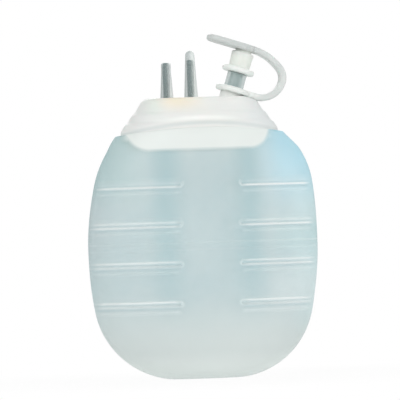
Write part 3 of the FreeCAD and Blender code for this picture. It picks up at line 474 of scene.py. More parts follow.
def make_bulb_silicone():
    """Milky blue silicone, with painted light and shade: pale painted highlights on the ribs, painted shade
    beside the plain panel and in patches, painted light under the bulb and on its right, and white painted
    light over the skirt and the rim.
    """
    material, tree, shader = material_with("bulb_silicone_look", (0.5, 0.62, 0.65), Roughness=0.36, IOR=1.41)
    place = place_of(tree)
    x, _, z = parts_of(tree, place)
    side = math_node(tree, "ABSOLUTE", x)
    foot = rising(tree, z, 34, 8)
    band_shade = product(tree, hump(tree, side, 13.5, 7.5), rising(tree, z, 16, 42))
    shoulder = product(tree, rising(tree, x, 14, 27), rising(tree, z, 50, 74))
    edge = product(tree, rising(tree, x, -29, -37), rising(tree, z, 28, 50))
    right = product(tree, rising(tree, x, 24, 34), rising(tree, z, 10, 30))
    right_low_light = product(tree, rising(tree, x, 17, 25), hump(tree, z, 28, 13))
    right_mid_shade = product(tree, rising(tree, x, 18, 26), hump(tree, z, 46, 9))
    left_high_shade = product(tree, rising(tree, x, -17, -27), rising(tree, z, 55, 66))
    # Painted highlights along the ribs' edges and the seam
    rib = attribute(tree, "painted_highlight")
    # White painted light over the skirt and in a band round the rim, where shade darkens them
    skirt_light = over_skirt(tree, x, z)
    rim_side = math_node(tree, "MAXIMUM", side, math_node(tree, "ADD", x, RIM_BAND_SHIFT * MM))
    rim_rise = rising(tree, z, NECK_HEIGHT - RIM_BAND_LOW, NECK_HEIGHT - RIM_BAND_HIGH)
    rim_light_band = product(tree, rim_rise, rising(tree, rim_side, 27.5, 23.5))
    white = math_node(tree, "MAXIMUM", skirt_light, rim_light_band)
    cloud = noise(tree, place, 45, 3.0)

    colour = ramp(tree, cloud, ((0.3, WALL_TONE_DEEP), (0.7, WALL_TONE_PALE)))
    # Over the wall's cloudy tone go painted light and shade: patches of shade and light, the shoulder's
    # highlight, the ribs' shade and highlights, and white light over the skirt and the rim
    for factor, share, tone in (
        (foot, 0.9, FOOT_TONE),
        (rising(tree, z, 10, 3), 0.5, UNDER_LIGHT_TONE),
        (band_shade, 0.8, BAND_SHADE_TONE),
        (edge, 0.5, EDGE_SHADE_TONE),
        (right, 0.6, RIGHT_TONE),
        (right_low_light, 0.5, RIGHT_LOW_LIGHT_TONE),
        (right_mid_shade, 0.4, RIGHT_MID_SHADE_TONE),
        (left_high_shade, 0.4, LEFT_TONE),
        (shoulder, 0.75, SHOULDER_HIGHLIGHT_TONE),
        (attribute(tree, "rib_shade"), 0.8, SHADE_TONE),
        (rib, 1.0, HIGHLIGHT_TONE),
        (white, 0.95, OVER_SKIRT_LIGHT_TONE),
    ):
        colour = mixed(tree, math_node(tree, "MULTIPLY", factor, share), colour, tone)
    tree.links.new(colour, shader.inputs["Base Color"])

    # The wall shows more opaque where it is thick, and where the eye looks along it
    along = tree.nodes.new("ShaderNodeLayerWeight")
    along.inputs["Blend"].default_value = 0.2
    alpha = math_node(tree, "MULTIPLY_ADD", foot, FOOT_ALPHA, WALL_ALPHA)
    alpha = math_node(tree, "MULTIPLY_ADD", rib, RIB_ALPHA, alpha)
    alpha = math_node(tree, "MULTIPLY_ADD", along.outputs["Facing"], EDGE_ALPHA, alpha, clamp=True)
    alpha = math_node(tree, "MULTIPLY_ADD", white, WHITE_ALPHA, alpha, clamp=True)
    tree.links.new(alpha, shader.inputs["Alpha"])
    bump(tree, shader, noise(tree, place, GRAIN), GRAIN_DEPTH)
    let_light_through(tree, shader, LIGHT_THROUGH)
    return material


def make_inner_silicone():
    """The inside of the wall, which shows hardly at all."""
    material, tree, shader = material_with(
        "bulb_inside_look", (0.62, 0.75, 0.78), Roughness=0.45, IOR=1.41, Alpha=0.05,
    )
    cloud = noise(tree, place_of(tree), 45, 3.0)
    colour = ramp(tree, cloud, ((0.3, (0.55, 0.70, 0.73)), (0.7, (0.65, 0.77, 0.78))))
    tree.links.new(colour, shader.inputs["Base Color"])
    let_light_through(tree, shader, LIGHT_THROUGH)
    return material


def near_spout(tree, place, across, along, far, near):
    """1 near a point of the spout's frame, falling to 0 at the far distance from it, in millimetres."""
    node = tree.nodes.new("ShaderNodeVectorMath")
    node.operation = "DISTANCE"
    node.inputs[1].default_value = Vector(on_spout(across, 0.0, along)) * MM
    tree.links.new(place, node.inputs[0])
    return rising(tree, node.outputs["Value"], far, near)


def make_cap_silicone():
    """Milky white silicone with the amber of the valves glowing faintly through it below the inlets, painted
    light on the skirt and round the boss, painted shade at the lowest ledge and a painted highlight above it.
    """
    material, tree, shader = material_with(
        "cap_silicone_look", (0.80, 0.81, 0.79), Roughness=0.42, IOR=1.41,
        Subsurface_Weight=0.3, Subsurface_Scale=0.004, Subsurface_Radius=(0.8, 1.0, 0.95),
    )
    place = place_of(tree)
    cloud = noise(tree, place, 60)
    colour = ramp(tree, cloud, ((0.3, (0.78, 0.80, 0.79)), (0.7, (0.82, 0.83, 0.80))))
    x, _, z = parts_of(tree, place)
    valves = product(tree, hump(tree, x, -8.4, 11.5), rising(tree, z, 86, 91.5))
    left = product(tree, hump(tree, x, -16.0, 5.0), rising(tree, z, 84, 89))
    right = rising(tree, x, 8, 21)
    # Painted light on the skirt inside the neck, against the shade in the bulb
    skirt = rising(tree, z, 82, 79)
    # The painted shade at the lowest ledge and the painted highlight above it are lower towards the ends, as
    # the cap's foot is
    level = math_node(tree, "MULTIPLY_ADD", math_node(tree, "MULTIPLY", x, x), CAP_LINE_BOW / MM, z)
    step_shade = hump(tree, level, CAP_STEP_SHADE_HEIGHT, 1.1)
    gleam = product(tree, hump(tree, level, CAP_GLEAM_HEIGHT, 1.2), hump(tree, x, -1.6, 18.0))
    for factor, share, tone in (
        (valves, 0.75, VALVE_GLOW),
        (left, 0.5, CAP_LEFT_TONE),
        (right, 0.45, CAP_RIGHT_TONE),
        (skirt, 1.0, LIT_SKIRT_TONE),
        (step_shade, 0.75, CAP_STEP_SHADE_TONE),
        (gleam, 0.8, GLEAM_TONE),
        # Painted light round the boss, against the shade under the collar's flange
        (near_spout(tree, place, 0.0, 0.0, 6.5, 4.5), 0.8, LIT_BOSS_TONE),
    ):
        colour = mixed(tree, math_node(tree, "MULTIPLY", factor, share), colour, tone)
    tree.links.new(colour, shader.inputs["Base Color"])
    bump(tree, shader, noise(tree, place, GRAIN), GRAIN_DEPTH)
    return material


def make_clear(name, colour, alpha, roughness=0.12, shaded=None, edge=0.0):
    """Clear moulded plastic with fine flow streaks along its length.

    shaded is the x of a tube's axis, in millimetres: the wall is darker on the left of it. edge is how much
    more opaque the wall shows where the eye looks along it.
    """
    material, tree, shader = material_with(name, colour, Roughness=roughness, Alpha=alpha, IOR=1.5)
    place = place_of(tree)
    streaks = noise(tree, place, STREAKS, stretch=(1, 1, 0.15))
    darker = tuple(0.85 * channel for channel in colour)
    tone = ramp(tree, streaks, ((0.3, darker), (0.7, colour)))
    if shaded is not None:
        left = rising(tree, parts_of(tree, place)[0], shaded + 0.5, shaded - 0.3)
        tone = mixed(tree, math_node(tree, "MULTIPLY", left, 0.85), tone, PORT_SHADE)
    tree.links.new(tone, shader.inputs["Base Color"])
    if edge:
        along = tree.nodes.new("ShaderNodeLayerWeight")
        along.inputs["Blend"].default_value = 0.35
        opaque = math_node(tree, "MULTIPLY_ADD", along.outputs["Facing"], edge, alpha, clamp=True)
        tree.links.new(opaque, shader.inputs["Alpha"])
    bump(tree, shader, streaks, STREAK_DEPTH)
    return material


def make_amber():
    """Amber elastomer for the valves."""
    material, tree, shader = material_with(
        "valve_amber_look", (0.7, 0.4, 0.15), Roughness=0.4, Subsurface_Weight=0.3, Subsurface_Scale=0.002,
    )
    cloud = noise(tree, place_of(tree), 300)
    colour = ramp(tree, cloud, ((0.3, (0.62, 0.34, 0.12)), (0.7, (0.74, 0.44, 0.18))))
    tree.links.new(colour, shader.inputs["Base Color"])
    return material


def make_closure_white():
    """Soft white moulding for the collar, strap and stopper, paler on the flanges and the stopper's body, with
    painted light on the collar's flange against the shade under it and on the body against the tab's shade.
    """
    material, tree, shader = material_with(
        "closure_white_look", (0.75, 0.76, 0.75), Roughness=0.4, IOR=1.45,
        Subsurface_Weight=0.25, Subsurface_Scale=0.002, Subsurface_Radius=(0.8, 1.0, 0.95),
    )
    place = place_of(tree)
    cloud = noise(tree, place, 180)
    colour = ramp(tree, cloud, ((0.3, (0.63, 0.66, 0.65)), (0.7, (0.71, 0.74, 0.72))))
    stopper_flange = near_spout(tree, place, 0.0, FLANGE_MIDDLE, 7.0, 5.5)
    # Painted light on the collar's flange and foot, against the shade under the flange
    collar_flange_light = near_spout(tree, place, 1.0, 1.5, 9.0, 6.5)
    flanges = math_node(tree, "MAXIMUM", stopper_flange, collar_flange_light)
    colour = mixed(tree, math_node(tree, "MULTIPLY", flanges, 0.7), colour, FLANGE_TONE)
    # Painted light: the stopper's body is paler against the tab's shade over it
    body = near_spout(tree, place, 0.0, BODY_MIDDLE, 5.5, 3.0)
    colour = mixed(tree, body, colour, LIT_BODY_TONE)
    tab = rising(tree, parts_of(tree, place)[2], 104, 109, 0.5)
    colour = mixed(tree, tab, colour, TAB_TONE)
    tree.links.new(colour, shader.inputs["Base Color"])
    bump(tree, shader, noise(tree, place, FINE_GRAIN), GRAIN_DEPTH)
    return material


# The bulb's mesh
def side_half_width(z):
    """Half width of the bulb on its long side curve."""
    return SIDE_CENTRE + math.sqrt(SIDE_RADIUS ** 2 - (z - WIDEST_HEIGHT) ** 2)


def slant_radius(z):
    """Half width of the bulb on the straight slant between the shoulder and the rim."""
    return SLANT_X - (z - SLANT_Z) * math.tan(SLOPE)


def arc_points(x, z, radius, first, last, count):
    """Points on an arc from the first angle to the last."""
    return [(x + radius * math.cos(a), z + radius * math.sin(a)) for a in np.linspace(first, last, count)]


def side_heights():
    """Heights of the mesh's rows on the side curve, close together where a rib's edges are."""
    low = WIDEST_HEIGHT - SIDE_RADIUS * math.sin(FALL)
    high = WIDEST_HEIGHT + SIDE_RADIUS * math.sin(RISE)
    above = RIB_BAND / 2 + 0.5
    below = FAINT_LINE_DROP + 0.6
    fine = np.concatenate([h + np.arange(-below, above + 0.01, 0.125) for h in RIB_HEIGHTS])
    fine = np.concatenate([fine, SEAM_HEIGHT + np.arange(-3.0, 0.61, 0.15)])
    fine = fine[(fine > low + 0.1) & (fine < high - 0.1)]
    coarse = [z for z in np.arange(low + 1.2, high, 1.2) if np.abs(fine - z).min() > 0.4]
    return sorted([low, *coarse, *fine, high])


def bulb_columns():
    """Angles round the bulb, close together where the ribs' inner ends are."""
    inner = RIB_GAP_HALF_WIDTH / HALF_WIDTH
    near = np.arange(inner - 0.03, inner + 0.07, 0.0045)
    middle = np.arange(0, inner - 0.035, 0.03)
    far = np.arange(inner + 0.08, math.cos(math.radians(35)), 0.022)
    shares = np.concatenate([middle, near, far])
    quarter = list(math.pi / 2 - np.arccos(shares))
    quarter += list(np.radians(np.arange(55.5, 90, 1.4)))
    quarter = [angle for angle in quarter if angle < math.pi / 2 - 0.01]
    right = sorted(set(round(angle, 6) for angle in quarter))
    front = [-angle for angle in right[:0:-1]] + right
    half = [angle - math.pi / 2 for angle in front]
    return np.array([-math.pi] + half + [0.0] + [angle + math.pi for angle in half])


def rim_heights(radius_at, flatness, angles):
    """Heights where an outline meets the rim's saddle, one for each angle round the bulb."""
    heights = []
    for angle in angles:
        z = NECK_HEIGHT
        for _ in range(25):
            y = radius_at(z) * flatness * math.sin(angle)
            z = NECK_HEIGHT + SADDLE_RADIUS - math.sqrt(SADDLE_RADIUS ** 2 - y * y)
        heights.append(z)
    return np.array(heights)


def smooth_rise(values, low, high):
    """Rises smoothly from 0 to 1 while values go from low to high. It falls if low is above high."""
    share = np.clip((values - low) / (high - low), 0, 1)
    return share * share * (3 - 2 * share)


def rib_raise(x, z):
    """How far the ribs lift the front or the back at a place, as a share of their full height."""
    bend = RIB_BAND / 2
    inner = RIB_GAP_HALF_WIDTH + bend
    raised = np.zeros_like(x)
    for height in RIB_HEIGHTS:
        outer = side_half_width(height) - RIB_SIDE_MARGIN - bend
        beyond = np.maximum(np.maximum(inner - np.abs(x), np.abs(x) - outer), 0)
        depth = bend - np.hypot(beyond, z - height)
        raised = np.maximum(raised, smooth_rise(depth, 0, RIB_EDGE))
    return raised


def ridge(z, height, width):
    """A rounded line over a height, 1 at its middle."""
    return np.exp(-((z - height) / width) ** 2)


def rib_marks(vertices, inner_start):
    """How strongly each outer point shows as a pale line of painted highlight along a rib, and as the painted
    shade beside one.
    """
    x, z = vertices[:, 0], vertices[:, 2]
    side = np.abs(x)
    pale, shade = np.zeros_like(x), np.zeros_like(x)
    ends = smooth_rise(side, RIB_GAP_HALF_WIDTH - 0.2, RIB_GAP_HALF_WIDTH + 1.8)
    for height, left, right in zip(RIB_HEIGHTS, LEFT_LINES, RIGHT_LINES):
        outer = side_half_width(height) + np.where(x < 0, 0.3, -RIB_SIDE_MARGIN)
        fading = smooth_rise(side, outer + 0.5, outer - 3.0)
        along = ends * fading
        upper, upper_width, lower, lower_width = np.where(x < 0, np.array([left]).T, np.array([right]).T)
        # The two lines meet in a round end beside the plain panel
        high = smooth_rise(z - height, -LINE_REACH, LINE_REACH)
        apart = np.hypot(np.maximum(RIB_GAP_HALF_WIDTH + LINE_REACH - side, 0), z - height)
        line = ridge(apart, LINE_REACH, lower_width + high * (upper_width - lower_width))
        line *= (lower + high * (upper - lower)) * fading
        line *= 0.6 + 0.4 * smooth_rise(side, RIB_GAP_HALF_WIDTH + 0.5, RIB_GAP_HALF_WIDTH + 3.0)
        pale = np.maximum(pale, line)
        pale = np.maximum(pale, ridge(z, height - FAINT_LINE_DROP, 0.5) * 0.25 * along)
        shade = np.maximum(shade, ridge(z, height, 0.25) * 0.35 * along)
        shade = np.maximum(shade, ridge(z, height - SHADE_DROP, 0.4) * 0.6 * along)
    # The seam's pale lines are painted highlights too, stronger towards the right
    pale = np.maximum(pale, ridge(z, SEAM_HEIGHT, 0.3) * (0.12 + 0.2 * smooth_rise(x, 0, 20)))
    second = ridge(z, SEAM_HEIGHT - SECOND_SEAM_DROP, 0.4)
    pale = np.maximum(pale, second * (0.05 + 0.12 * smooth_rise(x, 5, 25)))
    pale[inner_start:] = 0
    shade[inner_start:] = 0
    return {"painted_highlight": pale, "rib_shade": shade}


def leaning(z):
    """How far the soft bulb leans to the right at a height.

    Its widest part, its foot and its neck stay in place.
    """
    high = smooth_rise(z, WIDEST_HEIGHT, LEAN_TOP) * smooth_rise(z, NECK_HEIGHT, LEAN_TOP + 1.0)
    low = np.sin(math.pi * np.clip(z / WIDEST_HEIGHT, 0, 1)) ** 2
    return LEAN_HIGH * high - LEAN_LOW * low


def outer_rings(angles):
    """Rings up the outside of the bulb, from the foot to the rim's saddle."""
    foot_angle = math.asin(-CORNER_Z / CORNER_RADIUS)
    foot_x = CORNER_X + CORNER_RADIUS * math.cos(foot_angle)
    outline = [(foot_x * share, 0) for share in (0.25, 0.5, 0.75, 0.94)]
    outline += arc_points(CORNER_X, CORNER_Z, CORNER_RADIUS, foot_angle, -FALL, 36)
    outline += [(side_half_width(z), z) for z in side_heights()[1:]]
    outline += arc_points(SHOULDER_X, SHOULDER_Z, SHOULDER_RADIUS, RISE, SLOPE, 14)[1:]
    rings = []
    for radius, height in outline:
        points = ring(angles, radius, OUTER_FLATNESS, height)
        points[:, 1] *= 1 + RIB_RAISE / HALF_DEPTH * rib_raise(points[:, 0], points[:, 2])
        rings.append(points)

    tops = rim_heights(slant_radius, OUTER_FLATNESS, angles)
    for share in (0.25, 0.5, 0.75, 0.93, 1.0):
        height = SLANT_Z + share * (tops - SLANT_Z)
        rings.append(ring(angles, slant_radius(height), OUTER_FLATNESS, height))
    return rings


def inner_rings(angles):
    """Rings down the inside of the bulb, from the rim through the neck to the floor."""
    tops = rim_heights(lambda z: NECK_BORE, INNER_FLATNESS, angles)
    lead = NECK_HEIGHT - NECK_LAND_LEAD
    rings = []
    for share in (1.0, 0.9, 0.5, 0.0):
        rings.append(ring(angles, NECK_BORE, INNER_FLATNESS, lead + share * (tops - lead)))

    land_foot = NECK_HEIGHT - NECK_LAND
    slant_x = SHOULDER_X + (SHOULDER_RADIUS - WALL) * math.cos(SLOPE)
    slant_z = SHOULDER_Z + (SHOULDER_RADIUS - WALL) * math.sin(SLOPE)
    outline = [(slant_x - (land_foot - slant_z) * math.tan(SLOPE), land_foot)]
    outline += arc_points(SHOULDER_X, SHOULDER_Z, SHOULDER_RADIUS - WALL, SLOPE, RISE, 10)
    outline += arc_points(SIDE_CENTRE, WIDEST_HEIGHT, SIDE_RADIUS - WALL, RISE, -FALL, 26)[1:]
    outline += arc_points(CORNER_X, CORNER_Z, CORNER_RADIUS - WALL, -FALL, -math.pi / 2, 20)[1:]
    outline += [(CORNER_X * share, WALL - FOOT_TRIM) for share in (0.66, 0.33)]
    return rings + [ring(angles, radius, INNER_FLATNESS, height) for radius, height in outline]


def make_bulb(material, inner_material):
    """The bulb as one closed wall: outside from the foot to the rim, over the rim and down the inside."""
    angles = bulb_columns()
    columns = len(angles)
    outside = outer_rings(angles)
    rings = outside + inner_rings(angles)
    vertices = np.concatenate([*rings, [(0, 0, 0), (0, 0, WALL - FOOT_TRIM)]])
    shift = np.outer(leaning(vertices[:, 2]), (1, 0, 0))
    wall = new_object("bulb_wall", vertices + shift, closed_faces(len(rings), columns), material)
    wall.data.materials.append(inner_material)
    inner_start = len(outside) * columns
    for polygon in wall.data.polygons:
        if inner_start <= min(polygon.vertices) < len(rings) * columns:
            polygon.material_index = 1
    for name, values in rib_marks(vertices, inner_start).items():
        layer = wall.data.attributes.new(name, "FLOAT", "POINT")
        layer.data.foreach_set("value", values)
    return wall


# The cap's mesh
def softened(points, bend):
    """A line through points, with each inner corner turned over a short curve."""
    points = np.asarray(points, dtype=float)
    line = [points[0]]
    for before, corner, after in zip(points, points[1:], points[2:]):
        to_before = (before - corner) / np.linalg.norm(before - corner)
        to_after = (after - corner) / np.linalg.norm(after - corner)
        first, last = corner + bend * to_before, corner + bend * to_after
        for t in np.linspace(0, 1, 6):
            line.append((1 - t) ** 2 * first + 2 * t * (1 - t) * corner + t ** 2 * last)
    line.append(points[-1])
    return np.array(line)


def cap_outline():
    """Radius and height of the cap from its foot over the steps to its top's middle."""
    base = RIM_HALF_WIDTH - CAP_INSET
    lean = (CAP_NARROWING - (CAP_STEPS - 1) * CAP_LEDGE) / CAP_STEPS
    rise = CAP_STEP_HEIGHT - CAP_LEDGE_RISE
    points = [(base, NECK_HEIGHT - 1.0)]
    for step in range(CAP_STEPS):
        radius = base - step * (lean + CAP_LEDGE)
        height = NECK_HEIGHT + CAP_LIP + step * CAP_STEP_HEIGHT
        points.append((radius, height))
        if step < CAP_STEPS - 1:
            points.append((radius - lean, height + rise))
    tilt = math.atan2(lean, rise)
    start = points[-1]
    centre_z = CAP_TOP - CAP_CORNER
    length = (centre_z + CAP_CORNER * math.sin(tilt) - start[1]) / math.cos(tilt)
    bend_x = start[0] - length * math.sin(tilt)
    centre_x = bend_x - CAP_CORNER * math.cos(tilt)
    points.append((bend_x, start[1] + length * math.cos(tilt)))
    line = list(softened(points, CAP_STEP_BEND))
    line += arc_points(centre_x, centre_z, CAP_CORNER, tilt, math.pi / 2, 12)[1:]
    line += [(centre_x * share, CAP_TOP) for share in (0.85, 0.7, 0.5, 0.3)]
    return np.array(line)


def skirt_bottom(radius):
    """Height of the skirt's underside at a radius."""
    beyond = np.clip(radius - (SKIRT_HALF_WIDTH - SKIRT_CORNER), 0, SKIRT_CORNER)
    return SKIRT_FOOT + SKIRT_CORNER - np.sqrt(SKIRT_CORNER ** 2 - beyond ** 2)


def carved(piece, tools):
    """The piece after its tools are joined to it or taken from it, as one mesh with crisp cuts."""
    for operation, tool in tools:
        modifier = piece.modifiers.new(operation.lower(), "BOOLEAN")
        modifier.operation = operation
        modifier.solver = "EXACT"
        modifier.object = tool
    graph = bpy.context.evaluated_depsgraph_get()
    mesh = bpy.data.meshes.new_from_object(piece.evaluated_get(graph))
    piece.modifiers.clear()
    piece.data = mesh
    for _, tool in tools:
        bpy.data.objects.remove(tool)
    tidied(mesh)
    for polygon in mesh.polygons:
        polygon.use_smooth = True
    mesh.set_sharp_from_angle(angle=CREASE)
    return piece


def bar_on_spout(name, radius, low, high, material):
    """A round bar along the spout's axis."""
    columns = 64
    angles = np.linspace(0, 2 * math.pi, columns, endpoint=False)
    points = [on_spout(radius * math.cos(a), radius * math.sin(a), s) for s in (low, high) for a in angles]
    faces = grid_faces(2, columns)
    faces.append(tuple(range(columns))[::-1])
    faces.append(tuple(range(columns, 2 * columns)))
    return new_object(name, points, faces, material)


def cap_rings(angles, hollow_top):
    """Rings over the cap's steps from its top to its foot on the rim, down the skirt and up the hollow."""
    outline = cap_outline()
    climb = outline[outline[:, 1] < CAP_TOP - 0.01]

    def radius_at(z):
        return float(np.interp(z, climb[:, 1], climb[:, 0]))

    feet = rim_heights(radius_at, OUTER_FLATNESS, angles)
    rings = []
    for radius, height in outline[::-1]:
        if height < NECK_HEIGHT:
            continue
        heights = np.maximum(height, feet)
        radii = np.where(heights > height, [radius_at(z) for z in heights], radius)
        rings.append(ring(angles, radii, OUTER_FLATNESS, heights))
    rings.append(ring(angles, np.array([radius_at(z) for z in feet]), OUTER_FLATNESS, feet))
    skirt_tops = rim_heights(lambda z: SKIRT_HALF_WIDTH, INNER_FLATNESS, angles)
    rings.append(ring(angles, SKIRT_HALF_WIDTH, INNER_FLATNESS, skirt_tops))

    inner = SKIRT_HALF_WIDTH - SKIRT_WALL
    hollow_flatness = (SKIRT_HALF_WIDTH * INNER_FLATNESS - SKIRT_WALL) / inner
    mouth = inner - SKIRT_MOUTH_INSET
    mouth_y = mouth * hollow_flatness * np.sin(angles)
    mouth_radius = np.hypot(mouth * np.cos(angles), mouth_y / INNER_FLATNESS)
    corner_x = SKIRT_HALF_WIDTH - SKIRT_CORNER
    for turn in np.linspace(0.3, math.pi / 2, 9)[:-1]:
        radius = np.maximum(corner_x + SKIRT_CORNER * math.cos(turn), mouth_radius)
        height = np.minimum(skirt_bottom(radius), NECK_HEIGHT - 0.3)
        rings.append(ring(angles, radius, INNER_FLATNESS, height))
    rings.append(ring(angles, mouth, hollow_flatness, skirt_bottom(mouth_radius)))
    rings.append(ring(angles, inner, hollow_flatness, NECK_HEIGHT - SKIRT_KNEE_DROP))
    rings.append(ring(angles, inner - CAP_NARROWING, hollow_flatness, hollow_top))
    return rings


def make_cap(material):
    """The cap as one closed wall, with the spout's boss joined to it and the spout's hole cut out."""
    angles = np.linspace(0, 2 * math.pi, 144, endpoint=False)
    hollow_top = CAP_TOP - CAP_CEILING
    rings = cap_rings(angles, hollow_top)
    vertices = np.concatenate([*rings, [(0, 0, CAP_TOP), (0, 0, hollow_top)]])
    faces = closed_faces(len(rings), len(angles), turned=True)
    cap = new_object("cap_wall", vertices, faces, material)
    tidied(cap.data)

    # A block wider than the cap cuts it down to the collar's seat, on the right of the spout's axis
    half = 30.0
    corners = [on_spout(t, y, s) for t in (0, half) for y in (-half, half) for s in (TETHER_SEAT, half)]
    box = [(0, 1, 3, 2), (4, 6, 7, 5), (0, 4, 5, 1), (2, 3, 7, 6), (0, 2, 6, 4), (1, 5, 7, 3)]
    seat = new_object("seat_block", corners, box, material)
    boss = bar_on_spout("boss", BOSS_RADIUS, -BOSS_ROOT, TETHER_SEAT, material)
    hole = bar_on_spout("hole", SPOUT_HOLE_RADIUS, low=-12.0, high=6.0, material=material)
    return carved(cap, [("DIFFERENCE", seat), ("UNION", boss), ("DIFFERENCE", hole)])


def on_spout(across, level, along):
    """A point of the spout's frame in the row frame, in millimetres."""
    x = SPOUT_OFFSET + along * math.sin(SPOUT_TILT) + across * math.cos(SPOUT_TILT)
    z = CAP_TOP + along * math.cos(SPOUT_TILT) - across * math.sin(SPOUT_TILT)
    return (x, level, z)


# The strap and the tubes
def strap_path():
    """Points and headings of the strap's middle line, from the collar's arm to the pull tab."""
    crown_centre = (LOOP_START, STRAP_HIGH - CROWN_RADIUS)
    knee = (
        crown_centre[0] + (CROWN_RADIUS - TURN_RADIUS) * math.sin(CROWN_TURN),
        crown_centre[1] + (CROWN_RADIUS - TURN_RADIUS) * math.cos(CROWN_TURN),
    )
    lower_radius = knee[1] - STRAP_LOW
    lower_x = knee[0] + TURN_RADIUS - lower_radius
    points = [(t, STRAP_LOW, 0.0) for t in np.linspace(COLLAR_ARM, lower_x, 4)[:-1]]
    arcs = (
        (lower_x, knee[1], lower_radius, -math.pi / 2, 0.0, 22),
        (*knee, TURN_RADIUS, 0.0, math.pi / 2 - CROWN_TURN, 16),
        (*crown_centre, CROWN_RADIUS, math.pi / 2 - CROWN_TURN, math.pi / 2, 14),
    )
    for x, z, radius, first, last, count in arcs:
        for angle in np.linspace(first, last, count)[(0 if first < 0 else 1):]:
            points.append((x + radius * math.cos(angle), z + radius * math.sin(angle), angle + math.pi / 2))
    return points


def strap_section():
    """The strap's section as (level, out) pairs: a bar with rounded edges."""
    half, thick, bend = STRAP_WIDTH / 2, STRAP_THICKNESS / 2, STRAP_EDGE
    section = []
    corners = ((half - bend, thick - bend, 0), (bend - half, thick - bend, 90),
               (bend - half, bend - thick, 180), (half - bend, bend - thick, 270))
    for level, out, first in corners:
        for angle in np.radians(np.linspace(first, first + 90, 7)):
            section.append((level + bend * math.cos(angle), out + bend * math.sin(angle)))
    return section


def make_strap(material):
    """The strap as its section led along its path, closed at both ends."""
    section = strap_section()
    path = strap_path()
    vertices = []
    for across, along, heading in path:
        for level, out in section:
            t = across - out * math.sin(heading)
            s = along + out * math.cos(heading)
            vertices.append(on_spout(t, level, s))
    count = len(section)
    faces = grid_faces(len(path), count)
    faces.append(tuple(range(count))[::-1])
    faces.append(tuple(range(len(vertices) - count, len(vertices))))
    return new_object("tether_band", vertices, faces, material)


def turned_tube(name, bore, outline, place, materials, sealed=None):
    """A tube turned round an axis: its bore from the top down, then its outside up from the foot.

    bore and outline are lists of radius and height, and place turns a point of the tube into the row frame.
    sealed gives the heights of the bore's end and of the tip, where the tube is closed by a tip of its own.
    """
    columns = 48
    angles = np.linspace(0, 2 * math.pi, columns, endpoint=False)
    rings = bore + outline
    vertices = [place(r * math.cos(a), r * math.sin(a), s) for r, s in rings for a in angles]
    points = len(vertices)
    if sealed:
        vertices += [place(0, 0, height) for height in sealed]
        faces = closed_faces(len(rings), columns)
    else:
        last = points - columns
        faces = grid_faces(len(rings), columns)
        faces += [(last + a, last + (a + 1) % columns, (a + 1) % columns, a) for a in range(columns)]
    tube = new_object(name, vertices, faces, materials[0])
    tube.data.materials.append(materials[1])
    outside = len(bore) * columns
    for polygon in tube.data.polygons:
        polygon.material_index = int(min(polygon.vertices) < outside - columns or points in polygon.vertices)
    return tube


def rounded_mouth(radius, bend, top):
    """Points over a rounded mouth edge, from the outer radius in."""
    return arc_points(radius - bend, top - bend, bend, 0, math.pi / 2, 5)


def standing_at(x):
    """Turns a point of an upright tube at x into the row frame."""
    return lambda across, level, along: (x + across, level, along)


def make_open_inlet(materials):
    """The shorter inlet, tapered and cut open at its tip."""
    base, tip, length = 2.15, 1.6, 11.6
    top = CAP_TOP + length
    outline = [(base, CAP_TOP - INLET_ROOT), (base, CAP_TOP), (tip, top - 3.0)] + rounded_mouth(tip, 0.6, top)
    mouth = [(PORT_BORE, top), (PORT_BORE, top - 0.2)]
    inside = mouth + [(PORT_CORE, top - 0.9), (PORT_CORE, CAP_TOP - INLET_ROOT)]
    return turned_tube("inlet_open_wall", inside, outline, standing_at(-INLET_OPEN_OFFSET), materials)


def make_sealed_inlet(materials):
    """The taller inlet, tapered and closed by its rounded tip."""
    base, tip, length, solid = 2.25, 1.5, 15.4, 3.0
    top = CAP_TOP + length
    outline = [(base, CAP_TOP - INLET_ROOT), (base, CAP_TOP)] + arc_points(0, top - tip, tip, 0, 1.4, 9)
    inside = [(0.5, top - solid), (PORT_CORE, top - solid - 0.2), (PORT_CORE, CAP_TOP - INLET_ROOT)]
    place = standing_at(-INLET_SEALED_OFFSET)
    return turned_tube("inlet_sealed_wall", inside, outline, place, materials, sealed=(top - solid, top))


def make_spout(materials):
    """The spout, from its root in the cap to its rounded mouth."""
    radius, bore, length, root, bend = 3.2, 2.15, 8.0, 6.6, 0.3
    outline = [(radius, -root), (radius, 0)] + rounded_mouth(radius, bend, length)
    return turned_tube("spout_wall", [(bore, length), (bore, -root)], outline, on_spout, materials)


# Light, floor and camera
def area_light(name, place, aim, size, power):
    """A white lamp at a place that faces its aim, in metres and watts."""
    data = bpy.data.lights.new(name, "AREA")
    data.shape = "RECTANGLE"
    data.size, data.size_y = size
    data.energy = power
    light = bpy.data.objects.new(name, data)
    light.location = place
    light.rotation_euler = (Vector(aim) - Vector(place)).to_track_quat("-Z", "Y").to_euler()
    bpy.context.scene.collection.objects.link(light)


